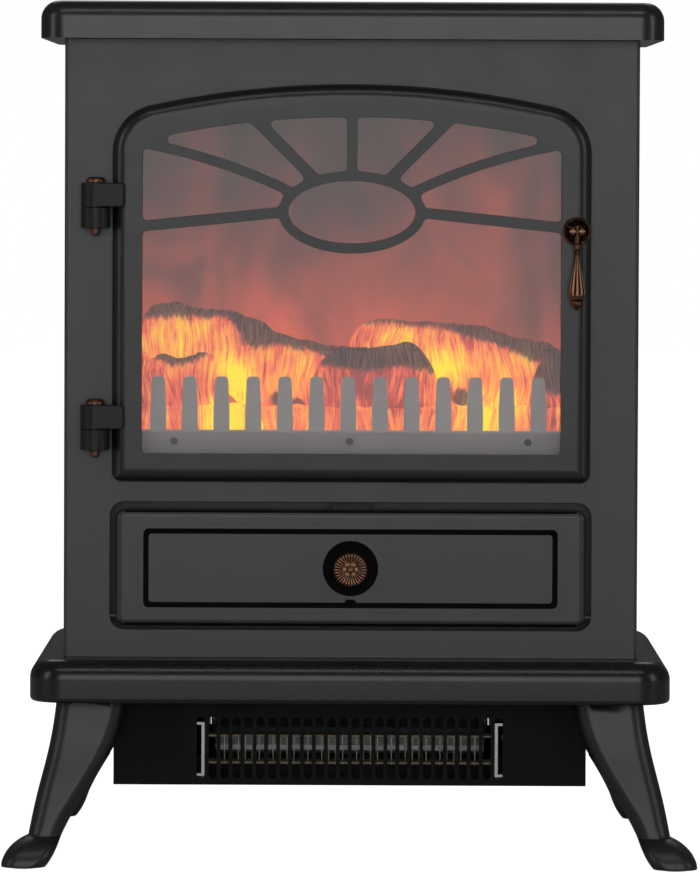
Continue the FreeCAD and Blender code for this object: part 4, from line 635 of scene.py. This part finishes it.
ember_bump = add(ember_tree, "ShaderNodeBump", {"Strength": 0.7, "Distance": 0.0008,
                                                "Height": grain.outputs[0]})
ember_tree.links.new(lit.outputs[0], ember_shader.inputs["Emission Color"])
ember_tree.links.new(skin.outputs[2], ember_shader.inputs["Base Color"])
ember_tree.links.new(ember_bump.outputs[0], ember_shader.inputs["Normal"])

# Each log: thickness, warmth, seed, then its route of x, depth, top, bottom and ash
logs = {
    "log_long_left": (17, 0.36, 1.0, [
        (-137, 46, 95, 50, 8), (-113, 46, 98, 48, 9), (-99, 45, 94, 46, 6), (-79, 44, 93, 40, 5), (-70, 43,
                                                                                                   90, 33, 12),
        (-57, 42, 86, 28, 15), (-48, 42, 80, 26, 9), (-34, 42, 75, 25, 6), (-20, 42, 72, 27, 6), (-7, 42,
                                                                                                  70, 34, 8),
        (8, 42, 66, 42, 10)]),
    "log_long_right": (17, 0.34, 4.0, [
        (-3, 48, 84, 40, 0), (12, 47, 86, 42, 1), (18, 46, 87, 40, 2), (47, 44, 86, 38, 3), (60, 44, 85, 34,
                                                                                             4),
        (70, 44, 85, 30, 7), (84, 44, 83, 28, 9), (97, 44, 79, 28, 9), (106, 44, 76, 26, 10), (120, 45, 74,
                                                                                               24, 14),
        (137, 45, 74, 24, 18)]),
    "log_short_left": (13, 0.27, 7.0, [
        (-137, 26, 69, 6, 5), (-120, 26, 66, 6, 5), (-110, 26, 63, 6, 5), (-99, 27, 65, 8, 4), (-90, 28, 67,
                                                                                                14, 2),
        (-78, 32, 62, 26, 0)]),
    "log_burnt_middle": (13, 0.14, 11.0, [
        (-26, 27, 70, 8, 10), (-7, 25, 71, 5, 14), (5, 24, 70, 5, 14), (20, 23, 71, 5, 14), (31, 23, 74, 5,
                                                                                             16),
        (42, 24, 74, 5, 17), (56, 26, 70, 5, 18)]),
    "log_burnt_end": (13, 0.16, 15.0, [
        (113, 25, 62, 5, 14), (120, 25, 64, 5, 20), (128, 24, 70, 5, 28), (139, 24, 74, 5, 34)]),
    "log_stub": (7, 0.42, 19.0, [(84, 31, 60, 34, 0), (87, 30, 70, 30, 0), (92, 30, 73, 30, 0),
                                 (96, 31, 64, 34, 0)]),
}


def hang_log(name, mesh, *replaced):
    """Lays one piece of the moulding on the fuel tray."""
    mesh.materials.append(ember)
    piece = bpy.data.objects.new(name, mesh)
    bpy.context.scene.collection.objects.link(piece)
    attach(piece, "cabinet")
    if replaced:
        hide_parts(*replaced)


for log_name, (thickness, warmth, seed, route) in logs.items():
    hang_log(log_name, log_mesh(log_name, route, thickness, warmth, seed))


def ember_heap():
    """The low bank of embers under the logs: a rumpled top and front, closed below."""
    columns, rows = 200, 46
    form = bmesh.new()
    grid = []
    x0, x1 = bed_low.x + 3 * MM, bed_high.x - 3 * MM
    for i in range(columns + 1):
        x = x0 + (x1 - x0) * i / columns
        line = []
        for j in range(rows + 1):
            share = j / rows
            front = min(1.0, share / 0.4)
            y = bed_low.y + (0.6 + 12 * front ** 3 + max(0.0, share - 0.4) * 80) * MM
            z = bed_low.z + (1 + 32 * math.sin(front * math.pi / 2)) * MM
            rough = noise.noise(Vector((x * 160, z * 160, y * 160))) * 1.6 + noise.noise(Vector((x * 600,
                                                                                                 z * 600, y * 600))) * 0.5
            line.append(form.verts.new((x, y + rough * MM * 0.5, z + rough * MM * front)))
        grid.append(line)
    for i in range(columns):
        for j in range(rows):
            form.faces.new((grid[i][j], grid[i + 1][j], grid[i + 1][j + 1], grid[i][j + 1]))
    edge = [e for e in form.edges if e.is_boundary]
    skirt = bmesh.ops.extrude_edge_only(form, edges=edge)["geom"]
    for vert in [g for g in skirt if isinstance(g, bmesh.types.BMVert)]:
        vert.co.z = bed_low.z + 0.2 * MM
    bmesh.ops.contextual_create(form, geom=[e for e in form.edges if e.is_boundary])
    bmesh.ops.recalc_face_normals(form, faces=form.faces)
    mesh = bpy.data.meshes.new("ember_heap")
    form.to_mesh(mesh)
    form.free()
    mark(mesh, "warmth", [0.40 + heat_at(v.co.x / MM, (v.co.z - bed_low.z) / MM) for v in mesh.vertices])
    mark(mesh, "ashes", [-1.0] * len(mesh.vertices))
    for polygon in mesh.polygons:
        polygon.use_smooth = True
    return mesh


hang_log("ember_heap", ember_heap(), "fuel_bed")


# ---------------------------------------------------------------------------------------------
# Fret: a comb cut from steel sheet, painted matt silver-grey and screwed to the lip of the fuel
# tray, so that its teeth stand in front of the embers.
# ---------------------------------------------------------------------------------------------
fret_paint = painted("fret_paint", (0.95, 0.95, 0.95), 0.6, clouding=0.08, dust=0.0, texture=0.05,
                     specular=1.0)
rivet_paint = painted("rivet_paint", (0.30, 0.30, 0.30), 0.5, clouding=0.2, dust=0.0)
eased("grate_fret", fret_paint, 0.4 * MM)
dress(rivet_paint, "fret_screws")


# ---------------------------------------------------------------------------------------------
# Door: one casting with a fanlight over the large pane, a sheet of flat toughened glass in its
# rebate, and iron strap hinges with loose bronze pins.
# ---------------------------------------------------------------------------------------------
door_paint = painted("door_paint", (0.010, 0.0115, 0.013), 0.33, grain=520.0, clouding=0.3, texture=0.18,
                     specular=0.85)
hinge_paint = painted("hinge_paint", (0.012, 0.012, 0.012), 0.42, grain=520.0, clouding=0.3, texture=0.15)
eased("door_frame", door_paint, 1.3 * MM, steps=3)
eased("door_hinge_straps", hinge_paint, 0.6 * MM)
eased("hinge_brackets", hinge_paint, 0.6 * MM)

glass, glass_tree, glass_shader = surface("door_glass", {
    "Transmission Weight": 1.0, "IOR": 1.5, "Roughness": 0.0})
glass_place = add(glass_tree, "ShaderNodeTexCoord")
glass_smear = noise_at(glass_tree, glass_place.outputs["Object"], 14.0, 5.0, Roughness=0.6)
glass_tint = add(glass_tree, "ShaderNodeValToRGB", {"Fac": glass_smear.outputs["Fac"]})
glass_tint.color_ramp.elements[0].color = (0.86, 0.84, 0.84, 1.0)
glass_tint.color_ramp.elements[1].color = (0.94, 0.92, 0.92, 1.0)
glass_tree.links.new(glass_tint.outputs[0], glass_shader.inputs["Base Color"])
dress(glass, "door_glass")


# ---------------------------------------------------------------------------------------------
# Bronze fittings: cast drop handle, its rose and pin, the hinge pins and the flower knob, plated
# in dark antique bronze and rubbed bright on the high places.
# ---------------------------------------------------------------------------------------------
bronze, bronze_tree, bronze_shader = surface("antique_bronze", {"Metallic": 1.0})
bronze_place = add(bronze_tree, "ShaderNodeTexCoord")
bronze_cloud = noise_at(bronze_tree, bronze_place.outputs["Object"], 420.0, 4.0)
bronze_form = add(bronze_tree, "ShaderNodeNewGeometry")
bronze_high = ranged(bronze_tree, bronze_form.outputs["Pointiness"], 0.0, 1.0, 0.49, 0.60)
bronze_rub = maths(bronze_tree, "MULTIPLY_ADD", bronze_cloud.outputs["Fac"], 0.5, -0.25)
bronze_relief = add(bronze_tree, "ShaderNodeAttribute", attribute_name="rubbed")
bronze_rub = maths(bronze_tree, "ADD", bronze_high.outputs[0], bronze_rub.outputs[0])
bronze_rub = maths(bronze_tree, "ADD", bronze_relief.outputs["Fac"], bronze_rub.outputs[0], clamp=True)
bronze_tone = add(bronze_tree, "ShaderNodeValToRGB", {"Fac": bronze_rub.outputs[0]})
bronze_tone.color_ramp.elements[0].color = (0.028, 0.015, 0.010, 1.0)
bronze_tone.color_ramp.elements[1].color = (0.75, 0.40, 0.24, 1.0)
bronze_gloss = ranged(bronze_tree, bronze_cloud.outputs["Fac"], 0.25, 0.5)
bronze_tree.links.new(bronze_tone.outputs[0], bronze_shader.inputs["Base Color"])
bronze_tree.links.new(bronze_gloss.outputs[0], bronze_shader.inputs["Roughness"])
dress(bronze, "handle_pin")
eased("hinge_pins", bronze, 0.2 * MM)
eased("handle_rosette", bronze, 0.15 * MM)


def lathe(name, profile, relief, around=96):
    """A closed turned shape about +Z from (radius, height) points in mm, with a relief at each point."""
    rings = []
    points = []
    rubbed = []
    for radius, height in profile:
        ring = []
        for j in range(around):
            turn = 2 * math.pi * j / around
            r, h, rub = relief(radius, height, turn)
            rubbed.append(rub)
            ring.append(len(points))
            points.append((r * math.cos(turn) * MM, r * math.sin(turn) * MM, h * MM))
        rings.append(ring)
    faces = []
    for lower, upper in zip(rings, rings[1:]):
        for j in range(around):
            k = (j + 1) % around
            faces.append((lower[j], lower[k], upper[k], upper[j]))
    faces.append(tuple(reversed(rings[0])))
    faces.append(tuple(rings[-1]))
    mesh = bpy.data.meshes.new(name)
    mesh.from_pydata(points, [], faces)
    form = bmesh.new()
    form.from_mesh(mesh)
    bmesh.ops.recalc_face_normals(form, faces=form.faces)
    form.to_mesh(mesh)
    form.free()
    mark(mesh, "rubbed", rubbed)
    for polygon in mesh.polygons:
        polygon.use_smooth = True
    return mesh


def spaced(points, step=0.35):
    """Adds points along a profile so that no two are further apart than the step."""
    out = [points[0]]
    for (r0, h0), (r1, h1) in zip(points, points[1:]):
        count = max(1, int(math.hypot(r1 - r0, h1 - h0) / step))
        out += [(r0 + (r1 - r0) * n / count, h0 + (h1 - h0) * n / count) for n in range(1, count + 1)]
    return out


pin_low, pin_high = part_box("handle_pin")
pin_middle = (pin_low + pin_high) / 2
drop_low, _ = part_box("handle_drop")
drop_length = (pin_middle.z - drop_low.z) / MM
bell_flutes = 10
drop_shape = [(0.02, 3.5), (1.4, 3.4), (1.5, -3.0), (1.6, -7.5), (2.5, -8.6), (2.6, -10.4), (1.8, -11.5),
              (1.7, -14.0),
              (2.0, -18.0), (3.0, -25.0), (4.4, -32.0), (5.3, -37.5), (5.4, -39.5), (4.6, -41.6), (3.3,
                                                                                                   -43.0),
              (3.7, -44.2), (3.6, -45.4), (2.6, -46.6), (1.6, 1.0 - drop_length), (0.02, -drop_length)]


def bell(radius, height, turn):
    """Flutes that open out down the bell and die away at the neck and the lip."""
    share = max(0.0, min(1.0, (-height - 15) / 10)) * max(0.0, min(1.0, (height + 41) / 3))
    valley = share * (0.5 + 0.5 * math.cos(bell_flutes * turn)) ** 2
    return radius * (1 - 0.17 * valley), height, 0.35 * share * (1 - 2 * valley)


drop_mesh = lathe("handle_bell", spaced(drop_shape), bell)
drop_mesh.transform(Matrix.Translation(pin_middle))
drop_mesh.materials.append(bronze)
drop = bpy.data.objects.new("handle_bell", drop_mesh)
bpy.context.scene.collection.objects.link(drop)
finish_piece(drop, "drop", "handle_drop")

knob_low, knob_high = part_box("flap_knob")
knob_radius = (knob_high.x - knob_low.x) / 2 / MM
knob_length = (knob_high.y - knob_low.y) / MM
knob_face = knob_length - 1.2
knob_shape = [(0.02, 0.0), (2.0, 0.0), (2.0, 2.0), (5.2, 2.0), (5.0, 3.0), (4.0, 5.0), (3.9, knob_face - 7),
              (5.0, knob_face - 5.4),
              (8.6, knob_face - 4.0), (knob_radius - 0.2, knob_face - 2.6), (knob_radius, knob_face - 1.4),
              (knob_radius - 0.6, knob_face - 0.3), (8.8, knob_face), (6.0, knob_face - 0.9), (4.4,
                                                                                               knob_face - 1.2),
              (2.4, knob_face - 0.6), (0.02, knob_face)]


def petals(radius, height, turn):
    """Three rings of raised petals on the face: fine rays outside, a six-petal flower and a boss inside."""
    if height < knob_face - 2.0:
        return radius, height, 0.0
    rays = (0.5 + 0.5 * math.cos(30 * turn)) ** 2 * math.exp(-((radius - 7.6) / 1.9) ** 2)
    flower = abs(math.cos(3 * turn)) * math.exp(-((radius - 3.7) / 1.0) ** 2)
    boss = math.exp(-(radius / 1.2) ** 2)
    high = 0.75 * rays + 0.9 * flower + 0.7 * boss
    return radius, min(height + high, knob_length), 1.1 * min(high, 0.8)


knob_mesh = lathe("flower_knob", spaced(knob_shape, 0.25), petals, 180)
knob_mesh.transform(Matrix.Translation(Vector((0, knob_high.y,
                                               (knob_low.z + knob_high.z) / 2))) @ Matrix.Rotation(math.pi / 2, 4, "X"))
knob_mesh.materials.append(bronze)
knob = bpy.data.objects.new("flower_knob", knob_mesh)
bpy.context.scene.collection.objects.link(knob)
finish_piece(knob, "flap", "flap_knob")


# ---------------------------------------------------------------------------------------------
# Control flap and the controls behind it: a beaded pressing on two pins, and a tray with three
# rocker switches and a thermostat dial.
# ---------------------------------------------------------------------------------------------
flap_paint = painted("flap_paint", (0.038, 0.0385, 0.040), 0.38, clouding=0.3, texture=0.12, specular=1.0)
# Near-black matt paint for the flap's groove and knob dish: painted shade, laid where these recesses fall into shadow.
recess_shade_paint = painted("recess_shade_paint", (0.005, 0.005, 0.005), 0.7, dust=0.0, specular=0.12)
flap = eased("control_flap", flap_paint, 0.3 * MM, angle=20.0)
flap.data.materials.append(recess_shade_paint)
flap_low, flap_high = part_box("control_flap")
bead_height = 1.0 * MM
groove_depth = 2.0 * MM
dish_reach = 17.5 * MM
flap_middle_z = (flap_low.z + flap_high.z) / 2
# Faces of the knob dish and of the groove round the field take the near-black paint, as painted shade in these
# recesses.
for face in flap.data.polygons:
    depth = face.center.y - flap_low.y - bead_height
    in_dish = math.hypot(face.center.x, face.center.z - flap_middle_z) < dish_reach and depth > 0.05 * MM
    in_groove = 0.3 * groove_depth < depth < 1.1 * groove_depth and abs(face.center.x) < flap_high.x - 8 * MM
    if in_dish or in_groove:
        face.material_index = 1
dress(cabinet_paint, "control_tray")
dress(black_plastic, "thermostat_dial")
rocker_skin = ("Roughness", 300.0, 3.0, 0.12, 0.35)
black_rocker = {"Base Color": (0.006, 0.006, 0.006, 1.0), "Roughness": 0.2}
rocker_gloss = mottled("rocker_black", black_rocker, *rocker_skin)
red_rocker = {"Base Color": (0.42, 0.012, 0.008, 1.0), "Roughness": 0.2}
red_plastic = mottled("rocker_red", red_rocker, *rocker_skin)
white_ink = mottled("white_ink", {"Roughness": 0.6}, "Base Color", 1500.0, 2.0, 0.55, 0.8)
for node, skin_finish in (("power_rocker", red_plastic), ("low_heat_rocker", rocker_gloss),
                          ("high_heat_rocker", rocker_gloss)):
    eased(node, skin_finish, 0.3 * MM)


def printed(name, body, figures):
    """Thin printed figures: each is its text, the middle of its place and its height."""
    holder = bmesh.new()
    for text, at, height in figures:
        curve = bpy.data.curves.new(name, "FONT")
        curve.body = text
        curve.align_x = "CENTER"
        curve.align_y = "CENTER"
        curve.size = height
        curve.resolution_u = 3
        letter = bpy.data.objects.new(name, curve)
        bpy.context.scene.collection.objects.link(letter)
        bpy.context.view_layer.update()
        flat = bpy.data.meshes.new_from_object(letter.evaluated_get(bpy.context.evaluated_depsgraph_get()))
        flat.transform(Matrix.Translation(at) @ Matrix.Rotation(math.pi / 2, 4, "X"))
        holder.from_mesh(flat)
        bpy.data.objects.remove(letter)
    sheet_mesh = bpy.data.meshes.new(name)
    holder.to_mesh(sheet_mesh)
    holder.free()
    sheet_mesh.materials.append(white_ink)
    made = bpy.data.objects.new(name, sheet_mesh)
    bpy.context.scene.collection.objects.link(made)
    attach(made, body)
    return made


dial_low, dial_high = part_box("thermostat_dial")
dial_middle_x = (dial_low.x + dial_high.x) / 2
dial_middle_z = (dial_low.z + dial_high.z) / 2
_, tray_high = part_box("control_tray")
tray_sheet = 1.5 * MM
ink_lift = 0.08 * MM
tray_face = tray_high.y - tray_sheet - ink_lift
dial_ring = 21.0 * MM
dial_figures = []
for step_number in range(7):
    turn = math.radians(step_number * 45)
    at = Vector((dial_middle_x + dial_ring * math.sin(turn), tray_face,
                 dial_middle_z + dial_ring * math.cos(turn)))
    dial_figures.append((str(step_number), at, 5.5 * MM))
for node, mark_text in (("power_rocker", "I"), ("low_heat_rocker", "1"), ("high_heat_rocker", "2")):
    rocker_low, rocker_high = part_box(node)
    at = Vector(((rocker_low.x + rocker_high.x) / 2, tray_face, dial_middle_z + 17.5 * MM))
    dial_figures.append((mark_text, at, 6.0 * MM))
printed("control_figures", "cabinet", dial_figures)
nylon = mottled("nylon", {"Roughness": 0.45}, "Base Color", 90.0, 3.0, 0.68, 0.78)
dress(nylon, "terminal_block")
